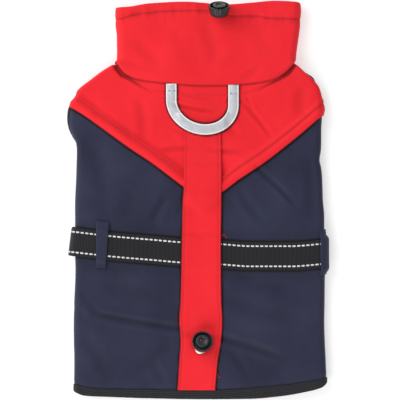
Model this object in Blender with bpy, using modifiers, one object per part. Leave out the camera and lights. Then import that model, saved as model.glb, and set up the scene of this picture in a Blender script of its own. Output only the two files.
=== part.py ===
"""Dog coat laid flat, back side up: a hollow cloth tube with a collar, a belt and two cord locks.

Frame: metres, +X to the right of the back, +Y towards the neck, +Z up from the surface it lies on.
The cloth follows one flattened tube. A place on it is (w, y): y runs from the hem to the neck, and
w runs round the tube. w is 0 at the middle of the back, -1 and 1 at the side folds, and -2 or 2 at
the middle of the belly. Each piece is moved out from that tube by what lies under it.
"""

import math

import bmesh
import bpy
from mathutils import Matrix, Vector

MM = 0.001

# ---------------------------------------------------------------- driving dimensions

GAP = 0.3 * MM
CLOTH = 2.0 * MM
COLLAR_CLOTH = 2.4 * MM
STRIP_CLOTH = 1.5 * MM
TAPE_CLOTH = 1.5 * MM
LOOP_CLOTH = 1.2 * MM
BAND_CLOTH = 3.0 * MM

BELT_WIDTH = 26.3 * MM
BELT_CLOTH = 1.5 * MM
BELT_SLACK_UPPER = 1.5 * MM
BELT_SLACK_LOWER = 4.8 * MM

FLAT_SHARE = 0.88
FOLD_SHARE = 2 - FLAT_SHARE
OVER_STEPS = 14
FOLD_STEPS = 6
UNDER_STEPS = 10

YOKE_BAND = 11.0 * MM
YOKE_STEP = 16.0 * MM
UNDERLAP = 10.0 * MM
NECK_LAP = 4.0 * MM
CASING_BULGE = 0.8 * MM

ARMHOLE_BOTTOM = 36.0 * MM
ARMHOLE_TOP = 120.0 * MM
ARMHOLE_POWER = 0.3
SEAM_BELOW_ARMHOLE = 1.25
SEAM_ABOVE_ARMHOLE = 1.16
SEAM_HALF_GAP = 0.0025
BINDING_WIDTH = 3.0 * MM
BINDING_THICK = 3.0 * MM
BINDING_GAP = 0.5 * MM
PLUG_LAYERS = (4.2 * MM, 2.0 * MM, 0.0, -1.6 * MM, -3.2 * MM)
PLUG_STEPS_ACROSS = 10

TAPE_HALF_WIDTH = 4.9 * MM
TAPE_CENTRE_X = 4.4 * MM
TAPE_CENTRE_Y = 91.5 * MM
TAPE_HALF_SPAN = 29.1 * MM
TAPE_DROP = 25.4 * MM
TAPE_SKEW = -0.085

BELT_LOOP_HALF_WIDTH = 4.7 * MM

LOCK_RADIUS = 9.9 * MM
LOCK_FOOT_RADIUS = 7.6 * MM
LOCK_HEIGHT = 10.0 * MM
LOCK_WALL = 1.5 * MM
LOCK_WELL_DEPTH = 4.2 * MM
LOCK_FLOOR = 1.4 * MM
PLUNGER_RADIUS = 4.7 * MM
PLUNGER_STROKE = 3.0 * MM
PLUNGER_PROUD = 0.6 * MM
CORD_HOLE_RADIUS = 1.9 * MM
CORD_HOLE_HEIGHT = 3.7 * MM
TURN_STEPS = 24

EYELET_RADIUS = 5.6 * MM
EYELET_HOLE = 2.9 * MM
EYELET_THICK = 0.8 * MM

# Outline of the tube, without what is sewn over its edge. Rows are (y, x), in millimetres.
LEFT_SIDE = (
    (-190, -115.6), (-180, -116.4), (-135, -116.4), (-94, -116.4), (-60, -115.4), (-15, -115.4),
    (26, -114.5), (47, -113.7), (53, -114.2), (60, -117.3), (68, -120.6), (77, -121.9), (84, -121.6),
    (90, -119.2), (97, -115.0), (102, -113.5), (105.5, -110.6), (113, -100.6), (120.5, -90.2),
    (127.5, -79.0), (131, -73.6), (154, -73.4), (165, -74.6), (190, -74.6),
)
RIGHT_SIDE = (
    (-190, 118.5), (-176, 120.3), (-169, 120.9), (-155, 120.1), (-135, 119.6), (-94, 119.6),
    (-71, 119.8), (-60, 119.2), (-38, 119.0), (-15, 119.2), (0, 117.9), (22, 116.7), (30, 115.8), (37.5, 114.4),
    (47, 115.8), (56, 116.2), (77, 116.2), (90, 116.4), (98, 116.2), (105.5, 114.2),
    (112, 109.6), (116.5, 105.0), (120.5, 100.4), (127.5, 93.2), (131, 89.8), (142, 91.0),
    (154, 92.4), (165, 93.4), (190, 93.4),
)

# Height of the tube's upper face and of its lower face. Rows are (y, z), in millimetres.
UPPER_FACE = (
    (-190, 10.6), (-160, 11.3), (-90, 11.4), (-45, 12.6), (0, 11.5), (60, 11.3), (110, 12.2),
    (131, 12.6), (160, 12.4), (190, 11.6),
)
LOWER_FACE = (
    (-190, 0.7), (-172, 0.7), (-160, 0.0), (20, 0.0), (34, 0.5), (84, 0.5), (98, 2.7), (164, 2.7),
    (176, 3.5), (190, 3.5),
)

# Edges and seams as seen from above. Rows are (x, y), in millimetres.
HEM_EDGE = (
    (-116.4, -180.2), (-106, -183.8), (-82.5, -184.9), (-45, -186.2), (2, -187.0), (49, -186.6),
    (78, -184.2), (101, -180.2), (116.8, -175.8), (120.9, -172.0),
)
HEM_SEAM = (
    (-116.4, -172.8), (-92, -176.7), (-45, -177.7), (18, -178.0), (55, -175.8), (92, -172.0),
    (115, -168.2), (120.9, -166.4),
)
YOKE_EDGE = (
    (-118.3, 86.0), (-107.0, 79.0), (-91.0, 67.7), (-65.1, 48.9), (-42.6, 33.8), (-13.9, 12.2),
    (5.8, -2.0), (22.3, 6.6), (38.7, 18.8), (61.3, 33.8), (81.0, 48.9), (99.4, 63.9),
    (115.8, 79.0), (118.6, 82.7),
)
NECK_SEAM = (
    (-77.0, 131.0), (-74.5, 126.0), (-68.4, 118.4), (-59.0, 113.7), (-44.9, 110.9), (-30.8, 109.5),
    (2.1, 107.2), (25.6, 107.2), (39.7, 108.1), (53.8, 109.5), (63.2, 110.9), (72.6, 113.7),
    (82.0, 119.4), (88.0, 125.5), (92.0, 130.5),
)
COLLAR_EDGE = (
    (-76.0, 180.5), (-65.6, 181.0), (-45.0, 184.2), (-13.0, 185.7), (6.0, 184.7), (19.9, 183.0),
    (31.2, 183.3), (49.0, 184.7), (72.6, 186.6), (91.4, 185.7), (96.0, 183.8),
)
HEM_LEFT = HEM_SEAM[0][0] * MM
HEM_RIGHT = HEM_SEAM[-1][0] * MM
BELT_LINE_BACK = (
    (-122.0, -38.0), (-105.1, -40.4), (-82.5, -43.2), (-38.4, -47.0), (-16.7, -48.9),
    (23.7, -50.9), (49.1, -52.6), (86.7, -52.6), (121.0, -50.0),
)
BELT_LINE_BELLY = ((-122.0, -38.0), (121.0, -50.0))

# Edges of the centre strip. Rows are (y, x), in millimetres.
STRIP_LEFT = (
    (-180, -19.3), (-150, -17.4), (-132, -16.3), (-113, -17.9), (-94, -16.7), (-47, -15.8),
    (0, -14.9), (11, -13.4), (70, -13.0),
)
STRIP_RIGHT = (
    (-180, 16.4), (-150, 19.0), (-132, 22.0), (-113, 23.2), (-94, 22.3), (-47, 21.8), (0, 22.3),
    (11, 22.3), (70, 21.8),
)

# Largest soft folds of the back: troughs from (x1, y1) to (x2, y2), in millimetres.
FOLDS = (
    # x1, y1, x2, y2, half width, depth
    (54, 30, 92, -8, 9, 0.6),
    (-38, -4, -30, -22, 8, 0.5),
    (-98, -104, -34, -116, 10, 0.6),
    (38, -130, 84, -158, 10, 0.6),
    (48, 84, 62, 62, 8, 0.5),
    (-70, -70, -50, -90, 9, 0.4),
)

STRIP_LOCK_PLACE = (4.4 * MM, -134.4 * MM)
STRIP_LOCK_TILT = math.radians(20)
COLLAR_LOCK_PLACE = (19.9 * MM, 173.6 * MM)
COLLAR_LOCK_TILT = math.radians(60)
STRIP_EYELET_PLACE = (2.6 * MM, -138.6 * MM)
COLLAR_EYELET_PLACE = (16.6 * MM, 176.4 * MM)

MATERIALS = {
    # name: (red, green, blue, roughness, metallic)
    "shell_red": (0.80, 0.03, 0.04, 0.62, 0.0),
    "shell_navy": (0.030, 0.033, 0.060, 0.60, 0.0),
    "webbing_black": (0.020, 0.020, 0.024, 0.75, 0.0),
    "binding_black": (0.024, 0.025, 0.029, 0.80, 0.0),
    "tape_reflective": (0.60, 0.62, 0.65, 0.40, 0.0),
    "lock_plastic": (0.022, 0.022, 0.024, 0.40, 0.0),
    "eyelet_metal": (0.75, 0.72, 0.66, 0.30, 1.0),
}


# ---------------------------------------------------------------- curves


def smooth_curve(rows):
    """A smooth function through rows of (place, value) in millimetres that never overshoots."""
    places = [row[0] * MM for row in rows]
    values = [row[1] * MM for row in rows]
    count = len(places)
    steps = [places[i + 1] - places[i] for i in range(count - 1)]
    rises = [(values[i + 1] - values[i]) / steps[i] for i in range(count - 1)]
    slopes = [rises[0]]
    for before, after in zip(rises, rises[1:]):
        same_way = before * after > 0
        slopes.append(2 * before * after / (before + after) if same_way else 0.0)
    slopes.append(rises[-1])

    def value(place):
        if place <= places[0]:
            return values[0]
        if place >= places[-1]:
            return values[-1]
        i = max(k for k in range(count - 1) if places[k] <= place)
        t = (place - places[i]) / steps[i]
        start = (1 + 2 * t) * (1 - t) ** 2 * values[i] + t * (1 - t) ** 2 * steps[i] * slopes[i]
        end = t * t * (3 - 2 * t) * values[i + 1] + t * t * (t - 1) * steps[i] * slopes[i + 1]
        return start + end

    return value


left_side = smooth_curve(LEFT_SIDE)
right_side = smooth_curve(RIGHT_SIDE)
upper_face = smooth_curve(UPPER_FACE)
lower_face = smooth_curve(LOWER_FACE)
hem_edge = smooth_curve(HEM_EDGE)
hem_seam = smooth_curve(HEM_SEAM)
yoke_edge = smooth_curve(YOKE_EDGE)
neck_seam = smooth_curve(NECK_SEAM)
collar_edge = smooth_curve(COLLAR_EDGE)
belt_line_back = smooth_curve(BELT_LINE_BACK)
belt_line_belly = smooth_curve(BELT_LINE_BELLY)
strip_left = smooth_curve(STRIP_LEFT)
strip_right = smooth_curve(STRIP_RIGHT)


def ramp(value, start, end):
    """0 up to start, 1 from end, and a soft step between."""
    t = min(max((value - start) / (end - start), 0.0), 1.0)
    return t * t * (3 - 2 * t)


def mix(a, b, share):
    """The value that lies this share of the way from a to b."""
    return a + (b - a) * share


# ---------------------------------------------------------------- the flattened tube

BELT_CLEAR = GAP + BELT_CLOTH
BELT_FLAT = BELT_WIDTH / 2 + 0.7 * MM
BELT_RAMP = BELT_FLAT + 6.0 * MM


def fold_depth(x, y):
    """Depth of the soft folds at a place on the back."""
    depth = 0.0
    for x1, y1, x2, y2, half_width, fold in FOLDS:
        start = Vector((x1 * MM, y1 * MM))
        along = Vector((x2 * MM, y2 * MM)) - start
        to_place = Vector((x, y)) - start
        share = min(max(to_place.dot(along) / along.length_squared, 0.0), 1.0)
        aside = (to_place - along * share).length / (half_width * MM)
        if aside < 1:
            depth += fold * MM * math.cos(aside * math.pi / 2) ** 2
    return depth


def floor_height(x, y):
    """Height of the tube's lower face, which lies over the belt that passes beneath."""
    aside = abs(y - belt_line_belly(x))
    return lower_face(y) + BELT_CLEAR * (1 - ramp(aside, BELT_FLAT, BELT_RAMP))


def tube_point(w, y):
    """The tube's outer surface at (w, y)."""
    left = left_side(y)
    right = right_side(y)
    middle = (left + right) / 2
    side = math.copysign(1, w)
    reach = abs(w)
    top = upper_face(y)
    floor = floor_height(right if side > 0 else left, y)
    radius = (top - floor) / 2
    flat = (right - left) / 2 - radius
    if reach <= FLAT_SHARE:
        x = middle + side * flat * reach / FLAT_SHARE
        return Vector((x, y, top - fold_depth(x, y)))
    if reach < FOLD_SHARE:
        angle = math.pi / 2 * (1 - (reach - FLAT_SHARE) / (1 - FLAT_SHARE))
        x = middle + side * (flat + radius * math.cos(angle))
        return Vector((x, y, floor + radius + radius * math.sin(angle)))
    x = middle + side * flat * (2 - reach) / FLAT_SHARE
    return Vector((x, y, floor_height(x, y)))


def tube_normal(w, y):
    """The outward normal of the tube at (w, y)."""
    step_w = 0.012
    step_y = 0.8 * MM
    across = tube_point(w + step_w, y) - tube_point(w - step_w, y)
    if abs(w) > 2 - step_w:
        across = Vector((-1, 0, 0))
    along = tube_point(w, y + step_y) - tube_point(w, y - step_y)
    return across.cross(along).normalized()


def on_tube(w, y, lift):
    """A point moved out from the tube by lift."""
    return tube_point(w, y) + tube_normal(w, y) * lift


def across_tube(w, y, lift):
    """A point moved out from the tube by lift, within the cross-section at y."""
    normal = tube_normal(w, y)
    normal.y = 0
    return tube_point(w, y) + normal.normalized() * lift


def moved_on_tube(w, y, step):
    """The place reached from (w, y) by a small step along the surface."""
    span = 0.012
    across = (tube_point(w + span, y) - tube_point(w - span, y)) / (2 * span)
    sideways = step + tube_point(w, y) - tube_point(w, y + step.y)
    return w + sideways.dot(across) / across.length_squared, y + step.y


def w_of(x, y):
    """The place w of a point x on the upper face."""
    left = left_side(y)
    right = right_side(y)
    radius = (upper_face(y) - floor_height(left, y)) / 2
    flat = (right - left) / 2 - radius
    return (x - (left + right) / 2) / flat * FLAT_SHARE


def seam_w(y):
    """Place of the belly seam, which moves out towards the shoulder above the armhole."""
    rise = ramp(y, ARMHOLE_BOTTOM, ARMHOLE_TOP)
    return mix(SEAM_BELOW_ARMHOLE, SEAM_ABOVE_ARMHOLE, rise)


def belt_line(x, under):
    """Middle line of the belt, on the back or on the belly."""
    return belt_line_belly(x) if under else belt_line_back(x)


# ---------------------------------------------------------------- rows across the cloth


def row_at(edge, aside=0.0):
    """A row that follows an edge, moved along Y by aside."""
    return lambda x, under: edge(x) + aside


def hem_row(edge, aside=0.0):
    """A row along the hem: it follows an edge on the back, and runs straight under the belly."""
    left_end = edge(HEM_LEFT)
    slope = (edge(HEM_RIGHT) - left_end) / (HEM_RIGHT - HEM_LEFT)
    return lambda x, under: aside + (left_end + slope * (x - HEM_LEFT) if under else edge(x))


def belt_row(aside):
    """A row beside the belt's middle line."""
    return lambda x, under: belt_line(x, under) + aside


def row_between(lower, upper, share):
    """A row that lies this share of the way between two others."""
    return lambda x, under: mix(lower(x, under), upper(x, under), share)


def place_on_row(row, w_from_y):
    """The place (w, y) where a column meets a row."""
    y = 0.0
    w = w_from_y(y)
    for _ in range(40):
        w = w_from_y(y)
        target = row(tube_point(w, y).x, abs(w) > 1)
        y = mix(y, target, 0.5)
    return w, y


def grid_of(rows, columns, lifts):
    """Rows of points: each column is a function of y that gives w, and each row has a lift."""
    grid = []
    for row, lift in zip(rows, lifts):
        line = []
        for column in columns:
            w, y = place_on_row(row, column)
            line.append(on_tube(w, y, lift))
        grid.append(line)
    return grid


def fixed_columns(places):
    """Columns that keep their w all the way."""
    return [lambda y, w=w: w for w in places]


def steps_between(start, end, count):
    """Evenly spaced places from start to end."""
    return [mix(start, end, i / count) for i in range(count + 1)]


def over_places():
    """Places w from under the left fold, over the back, to under the right fold."""
    left_fold = steps_between(-FOLD_SHARE, -FLAT_SHARE, FOLD_STEPS)
    back = steps_between(-FLAT_SHARE, FLAT_SHARE, OVER_STEPS)
    right_fold = steps_between(FLAT_SHARE, FOLD_SHARE, FOLD_STEPS)
    return left_fold + back[1:] + right_fold[1:]


def ring_columns():
    """Columns all round the tube."""
    belly = steps_between(FOLD_SHARE, 4 - FOLD_SHARE, UNDER_STEPS)[1:-1]
    return fixed_columns(over_places() + [w - 4 if w > 2 else w for w in belly])


def back_columns():
    """Columns from the left belly seam over the back to the right belly seam."""
    left = [lambda y: SEAM_HALF_GAP - seam_w(y)]
    right = [lambda y: seam_w(y) - SEAM_HALF_GAP]
    return left + fixed_columns(over_places()) + right


def belly_columns(count):
    """Columns from the right belly seam, under the belly, to the left one."""
    columns = []
    for i in range(count + 1):
        share = 1 - 2 * i / count
        side = 1 if share > 0 else -1
        columns.append(
            lambda y, s=abs(share), side=side: side * mix(2, seam_w(y) + SEAM_HALF_GAP, s)
        )
    return columns


# ---------------------------------------------------------------- making objects


def clear_scene():
    """Remove every object of the scene."""
    for thing in list(bpy.data.objects):
        bpy.data.objects.remove(thing)


def new_collection(name):
    """A collection linked to the scene."""
    collection = bpy.data.collections.new(name)
    bpy.context.scene.collection.children.link(collection)
    return collection


def make_material(name):
    """A Principled material from the table."""
    red, green, blue, roughness, metallic = MATERIALS[name]
    material = bpy.data.materials.new(name)
    material.use_nodes = True
    shader = material.node_tree.nodes["Principled BSDF"]
    shader.inputs["Base Color"].default_value = (red, green, blue, 1)
    shader.inputs["Roughness"].default_value = roughness
    shader.inputs["Metallic"].default_value = metallic
    material.diffuse_color = (red, green, blue, 1)
    return material


def add_mesh(name, mesh_builder, material):
    """An object in the parts collection from a filled bmesh."""
    mesh = bpy.data.meshes.new(name)
    bmesh.ops.recalc_face_normals(mesh_builder, faces=mesh_builder.faces)
    mesh_builder.to_mesh(mesh)
    mesh_builder.free()
    mesh.materials.append(materials[material])
    thing = bpy.data.objects.new(name, mesh)
    parts.objects.link(thing)
    return thing


def cloth(name, grid, thickness, material, ring=False):
    """Cloth through a grid of points on its outer face, with its thickness inwards."""
    mesh = bpy.data.meshes.new(name)
    count = len(grid[0])
    points = [point for line in grid for point in line]
    faces = []
    for i in range(len(grid) - 1):
        for j in range(count if ring else count - 1):
            after = (j + 1) % count
            near, far = i * count, (i + 1) * count
            faces.append((near + j, near + after, far + after, far + j))
    mesh.from_pydata(points, [], faces)
    mesh.materials.append(materials[material])
    thing = bpy.data.objects.new(name, mesh)
    parts.objects.link(thing)
    wall = thing.modifiers.new("wall", "SOLIDIFY")
    wall.thickness = thickness
    wall.offset = -1
    wall.use_even_offset = True
    wall.use_quality_normals = True
    return thing


def closed_sweep(name, sections, material):
    """A closed ring through sections with equally many corners."""
    builder = bmesh.new()
    loops = [[builder.verts.new(corner) for corner in section] for section in sections]
    for i, loop in enumerate(loops):
        after = loops[(i + 1) % len(loops)]
        for j in range(len(loop)):
            k = (j + 1) % len(loop)
            builder.faces.new((loop[j], loop[k], after[k], after[j]))
    return add_mesh(name, builder, material)


def make_block(name, layers):
    """A cutter with grids of points as its layers, from its top face down to its lower face."""
    builder = bmesh.new()
    rows, columns = len(layers[0]), len(layers[0][0])
    rim = [(0, j) for j in range(columns - 1)] + [(i, columns - 1) for i in range(rows - 1)]
    rim += [(rows - 1, j) for j in range(columns - 1, 0, -1)] + [(i, 0) for i in range(rows - 1, 0, -1)]
    faces = []
    for layer in (layers[0], layers[-1]):
        grid = [[builder.verts.new(point) for point in line] for line in layer]
        faces.append([grid[i][j] for i, j in rim])
        for i in range(rows - 1):
            for j in range(columns - 1):
                builder.faces.new((grid[i][j], grid[i][j + 1], grid[i + 1][j + 1], grid[i + 1][j]))
    middle = [[builder.verts.new(layer[i][j]) for i, j in rim] for layer in layers[1:-1]]
    rims = [faces[0], *middle, faces[1]]
    for upper, lower in zip(rims, rims[1:]):
        for i in range(len(rim)):
            k = (i + 1) % len(rim)
            builder.faces.new((upper[i], upper[k], lower[k], lower[i]))
    bmesh.ops.recalc_face_normals(builder, faces=builder.faces)
    mesh = bpy.data.meshes.new(name)
    builder.to_mesh(mesh)
    builder.free()
    return add_cutter(name, mesh)


def turned(name, profile, material):
    """A solid turned from a profile of (radius, height): closed, or with both ends on its axis."""
    mesh = bpy.data.meshes.new(name)
    edges = [(i, i + 1) for i in range(len(profile) - 1)]
    if profile[0][0] > 0:
        edges.append((len(profile) - 1, 0))
    mesh.from_pydata([(radius, 0, height) for radius, height in profile], edges, [])
    mesh.materials.append(materials[material])
    thing = bpy.data.objects.new(name, mesh)
    parts.objects.link(thing)
    screw = thing.modifiers.new("turn", "SCREW")
    screw.steps = TURN_STEPS
    screw.render_steps = TURN_STEPS
    screw.use_merge_vertices = True
    screw.merge_threshold = 0.00001
    return thing


def add_cutter(name, mesh):
    """A helper shape that cuts the parts and isn't one of them."""
    helper = bpy.data.objects.new(name, mesh)
    cutters.objects.link(helper)
    helper.hide_render = True
    helper.display_type = "WIRE"
    return helper


def cut(thing, cutter):
    """Take the cutter's shape out of a solid."""
    boolean = thing.modifiers.new("cut_" + cutter.name, "BOOLEAN")
    boolean.operation = "DIFFERENCE"
    boolean.solver = "EXACT"
    boolean.object = cutter


# ---------------------------------------------------------------- armholes


class Armhole:
    """One armhole: its opening on the tube, and the binding that edges it."""

    stations = 17

    def __init__(self, label, side, towards_back, towards_belly):
        self.label = label
        self.side = side
        self.towards_back = towards_back
        self.towards_belly = towards_belly

    def share(self, index):
        """Where a station lies between the bottom of the armhole and its top, closer at the ends."""
        even = index / (self.stations - 1)
        return mix(0.01, 0.99, 0.5 - 0.5 * math.cos(math.pi * even))

    def place(self, index, across):
        """(w, y) at a station; across runs from 0 on the back's edge to 1 on the belly's."""
        share = self.share(index)
        y = mix(ARMHOLE_BOTTOM, ARMHOLE_TOP, share)
        width = math.sin(math.pi * share) ** ARMHOLE_POWER
        back = seam_w(y) - self.towards_back * width
        belly = seam_w(y) + self.towards_belly * width
        return self.side * mix(back, belly, across), y

    def cutter(self):
        """A plug through the cloth with the opening's outline."""
        shares = steps_between(0.0, 1.0, PLUG_STEPS_ACROSS)
        layers = []
        for lift in PLUG_LAYERS:
            grid = []
            for index in range(self.stations):
                places = [self.place(index, share) for share in shares]
                grid.append([across_tube(w, y, lift) for w, y in places])
            layers.append(grid)
        return make_block("armhole_plug_" + self.label, layers)

    def edge_places(self):
        """Places round the opening: up the back's edge, over the top, down the belly's edge."""
        last = self.stations - 1
        places = [self.place(index, 0.0) for index in range(self.stations)]
        places.append(self.place(last, 0.5))
        places += [self.place(index, 1.0) for index in range(last, -1, -1)]
        places.append(self.place(0, 0.5))
        return places

    def binding(self):
        """The folded binding, just inside the opening's edge."""
        places = self.edge_places()
        points = [tube_point(w, y) for w, y in places]
        outer = (BINDING_THICK - CLOTH) / 2
        sections = []
        for i, (w, y) in enumerate(places):
            along = points[(i + 1) % len(points)] - points[i - 1]
            inwards = along.cross(tube_normal(w, y)).normalized() * self.side
            corners = []
            for distance in (BINDING_GAP, BINDING_GAP + BINDING_WIDTH):
                w_there, y_there = moved_on_tube(w, y, inwards * distance)
                corners.append(across_tube(w_there, y_there, outer))
                corners.append(across_tube(w_there, y_there, outer - BINDING_THICK))
            sections.append((corners[1], corners[0], corners[2], corners[3]))
        return closed_sweep("armhole_binding_" + self.label, sections, "binding_black")


# ---------------------------------------------------------------- cloth pieces


def body_rows(upper, shares):
    """Rows from the hem past the belt up to a last row, with shares of the way above the belt."""
    below_belt = belt_row(-BELT_RAMP)
    above_belt = belt_row(BELT_RAMP)
    rows = [hem_row(hem_seam, GAP), hem_row(hem_seam, 14 * MM)]
    rows += [row_between(rows[1], below_belt, share) for share in (0.34, 0.67)]
    rows += [below_belt, belt_row(-BELT_FLAT), belt_row(BELT_FLAT), above_belt]
    rows += [row_between(above_belt, upper, share) for share in shares]
    return rows


def make_back_panel():
    """Navy back: from the hem to under the yoke, round both folds to the belly seams."""
    shares = (0.2, 0.4, 0.55, 0.7, 0.82, 0.92, 1.0)
    rows = body_rows(row_at(yoke_edge, UNDERLAP), shares)
    grid = grid_of(rows, back_columns(), [0.0] * len(rows))
    return cloth("back_panel", grid, CLOTH, "shell_navy")


def make_belly_panel():
    """Navy belly: from the hem to the neck seam, between the belly seams."""
    shares = (0.15, 0.3, 0.42, 0.54, 0.66, 0.78, 0.86, 0.94, 1.0)
    rows = body_rows(row_at(neck_seam, NECK_LAP), shares)
    grid = grid_of(rows, belly_columns(14), [0.0] * len(rows))
    return cloth("belly_panel", grid, CLOTH, "shell_navy")


def make_yoke():
    """Red yoke: its V edge is lapped over the back panel, and its top is under the collar."""
    lap = GAP + CLOTH
    foot = row_at(yoke_edge, YOKE_STEP)
    neck = row_at(neck_seam, NECK_LAP)
    rows = [row_at(yoke_edge, aside) for aside in (0.0, YOKE_BAND / 2, YOKE_BAND)] + [foot]
    rows += [row_between(foot, neck, share) for share in (0.2, 0.4, 0.6, 0.8, 1.0)]
    lifts = [lap, lap, lap] + [0.0] * 6
    return cloth("yoke", grid_of(rows, back_columns(), lifts), CLOTH, "shell_red")


def make_collar():
    """Red collar: a tube over the neck edge, a little thicker round its casing."""
    lift = GAP + COLLAR_CLOTH
    low = row_at(neck_seam)
    high = row_at(collar_edge)
    shares = (0.0, 0.15, 0.4, 0.65, 0.84, 0.9, 0.96, 1.0)
    bulges = (0.0, 0.0, 0.0, 0.0, -0.3, 1.0, 1.0, 0.2)
    rows = [row_between(low, high, share) for share in shares]
    lifts = [lift + bulge * CASING_BULGE for bulge in bulges]
    grid = grid_of(rows, ring_columns(), lifts)
    return cloth("collar", grid, COLLAR_CLOTH, "shell_red", ring=True)


def make_hem_band():
    """Black binding all round the hem, a little thicker than the cloth that it edges."""
    proud = (BAND_CLOTH - CLOTH) / 2
    low = hem_row(hem_edge)
    high = hem_row(hem_seam)
    rows = [low, row_between(low, high, 0.5), high]
    grid = grid_of(rows, ring_columns(), [proud * 0.4, proud, proud])
    return cloth("hem_band", grid, BAND_CLOTH, "binding_black", ring=True)


def belt_point(w, y, lift):
    """A point on the belt, which stands off the left fold a little."""
    point = on_tube(w, y, lift)
    below = (belt_line_belly(point.x) - y) / BELT_WIDTH + 0.5
    slack = mix(BELT_SLACK_UPPER, BELT_SLACK_LOWER, below)
    nearness = ramp(abs(w), 0.74, 0.94) * (1 - ramp(abs(w), 1.06, 1.26))
    if w < 0:
        point.x -= slack * nearness
    return point


def make_belt():
    """Black webbing all round the body."""
    grid = []
    for aside in (-BELT_WIDTH / 2, 0.0, BELT_WIDTH / 2):
        line = []
        for column in ring_columns():
            w, y = place_on_row(belt_row(aside), column)
            line.append(belt_point(w, y, GAP + BELT_CLOTH))
        grid.append(line)
    return cloth("belt", grid, BELT_CLOTH, "webbing_black", ring=True)


def make_belt_loop(name, places, ends):
    """A narrow loop sewn down above and below the belt, and lying over it."""
    clear = BELT_FLAT + 0.4 * MM
    foot = BELT_FLAT + 4.6 * MM
    stations = ((ends[0], False), (-foot, False), (-clear, True), (0.0, True))
    stations += ((clear, True), (foot, False), (ends[1], False))
    grid = []
    for aside, over_belt in stations:
        lift = GAP + LOOP_CLOTH + (GAP + BELT_CLOTH if over_belt else 0.0)
        line = []
        for w in places:
            w_here, y = place_on_row(belt_row(aside), lambda y, w=w: w)
            line.append(on_tube(w_here, y, lift))
        grid.append(line)
    return cloth(name, grid, LOOP_CLOTH, "shell_navy")


def make_belt_loops():
    """The loop on the left of the back, and the one on the right fold."""
    y = -42.0 * MM
    middle = -90.3 * MM
    half = BELT_LOOP_HALF_WIDTH
    places = [w_of(middle + aside, y) for aside in (-half, 0.0, half)]
    make_belt_loop("belt_loop_left", places, (-21.0 * MM, 21.5 * MM))
    make_belt_loop("belt_loop_right", [0.92, 0.96, 1.00, 1.04], (-19.8 * MM, 22.5 * MM))


def strip_lift(y, x):
    """Height of the strip's outer face over the tube: it passes over the belt and the yoke's lap."""
    plain = GAP + STRIP_CLOTH
    over_belt = BELT_CLEAR * (1 - ramp(abs(y - belt_line_back(x)), BELT_FLAT, BELT_RAMP))
    over_yoke = (GAP + CLOTH) * ramp(y, -12 * MM, -5 * MM) * (1 - ramp(y, 29 * MM, 36 * MM))
    return plain + max(over_belt, over_yoke)


def make_centre_strip():
    """Red strip down the middle of the back."""
    top = 69.5 * MM
    belt_here = belt_line_back(4 * MM)
    ys = [-160 * MM, -140 * MM, -120 * MM, -100 * MM, -85 * MM]
    ys += [belt_here - BELT_RAMP, belt_here - BELT_FLAT, belt_here, belt_here + BELT_FLAT]
    ys += [belt_here + BELT_RAMP, -21 * MM, -12 * MM, -5 * MM, 10 * MM, 29 * MM, 36 * MM, 50 * MM, top]
    grid = [[]]
    for i in range(4):
        x = mix(strip_left(-178 * MM), strip_right(-178 * MM), i / 3)
        y = hem_seam(x) + GAP
        grid[0].append(on_tube(w_of(x, y), y, strip_lift(y, x)))
    for y in ys:
        line = []
        for i in range(4):
            x = mix(strip_left(y), strip_right(y), i / 3)
            line.append(on_tube(w_of(x, y), y, strip_lift(y, 4 * MM)))
        grid.append(line)
    return cloth("centre_strip", grid, STRIP_CLOTH, "shell_red")


def tape_line():
    """Middle line of the reflective loop: two legs joined by half an ellipse."""
    line = []
    for i in range(19):
        angle = math.pi * (1 + i / 18)
        x = TAPE_HALF_SPAN * math.cos(angle)
        y = TAPE_DROP * math.sin(angle) + TAPE_SKEW * x
        line.append(Vector((TAPE_CENTRE_X + x, TAPE_CENTRE_Y + y)))
    tops = []
    for leg in (line[0], line[-1]):
        seam = min(neck_seam(leg.x - TAPE_HALF_WIDTH), neck_seam(leg.x + TAPE_HALF_WIDTH))
        tops.append(Vector((leg.x, seam - 2 * GAP)))
    return [tops[0], *line, tops[1]]


def make_reflective_loop():
    """Reflective tape lying on the yoke, over the end of the strip."""
    line = tape_line()
    grid = []
    for i, middle in enumerate(line):
        along = line[min(i + 1, len(line) - 1)] - line[max(i - 1, 0)]
        if i in (0, len(line) - 1):
            along = Vector((0, -1 if i == 0 else 1))
        aside = Vector((along.y, -along.x)).normalized() * TAPE_HALF_WIDTH
        row = []
        for point in (middle + aside, middle, middle - aside):
            edge = strip_left(point.y) if point.x < TAPE_CENTRE_X else strip_right(point.y)
            inside = abs(point.x - TAPE_CENTRE_X) - abs(edge - TAPE_CENTRE_X)
            over_strip = 1 - ramp(inside, 2 * MM, 9 * MM)
            if point.y > 82 * MM:
                over_strip = 0.0
            lift = GAP + TAPE_CLOTH + (GAP + STRIP_CLOTH) * over_strip
            row.append(on_tube(w_of(point.x, point.y), point.y, lift))
        grid.append(row)
    grid.reverse()
    return cloth("reflective_loop", grid, TAPE_CLOTH, "tape_reflective")


# ---------------------------------------------------------------- hard pieces


def make_eyelet(name, place, lift):
    """A flat metal ring on the cloth."""
    x, y = place
    seat = on_tube(w_of(x, y), y, lift + GAP)
    normal = tube_normal(w_of(x, y), y)
    profile = (
        (EYELET_HOLE, 0.0),
        (EYELET_HOLE, EYELET_THICK * 0.6),
        (EYELET_HOLE + 0.5 * MM, EYELET_THICK),
        (EYELET_RADIUS - 0.7 * MM, EYELET_THICK),
        (EYELET_RADIUS, EYELET_THICK * 0.4),
        (EYELET_RADIUS, 0.0),
    )
    ring = turned(name, profile, "eyelet_metal")
    turn = Vector((0, 0, 1)).rotation_difference(normal).to_matrix().to_4x4()
    ring.matrix_world = Matrix.Translation(seat) @ turn
    return ring


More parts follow.
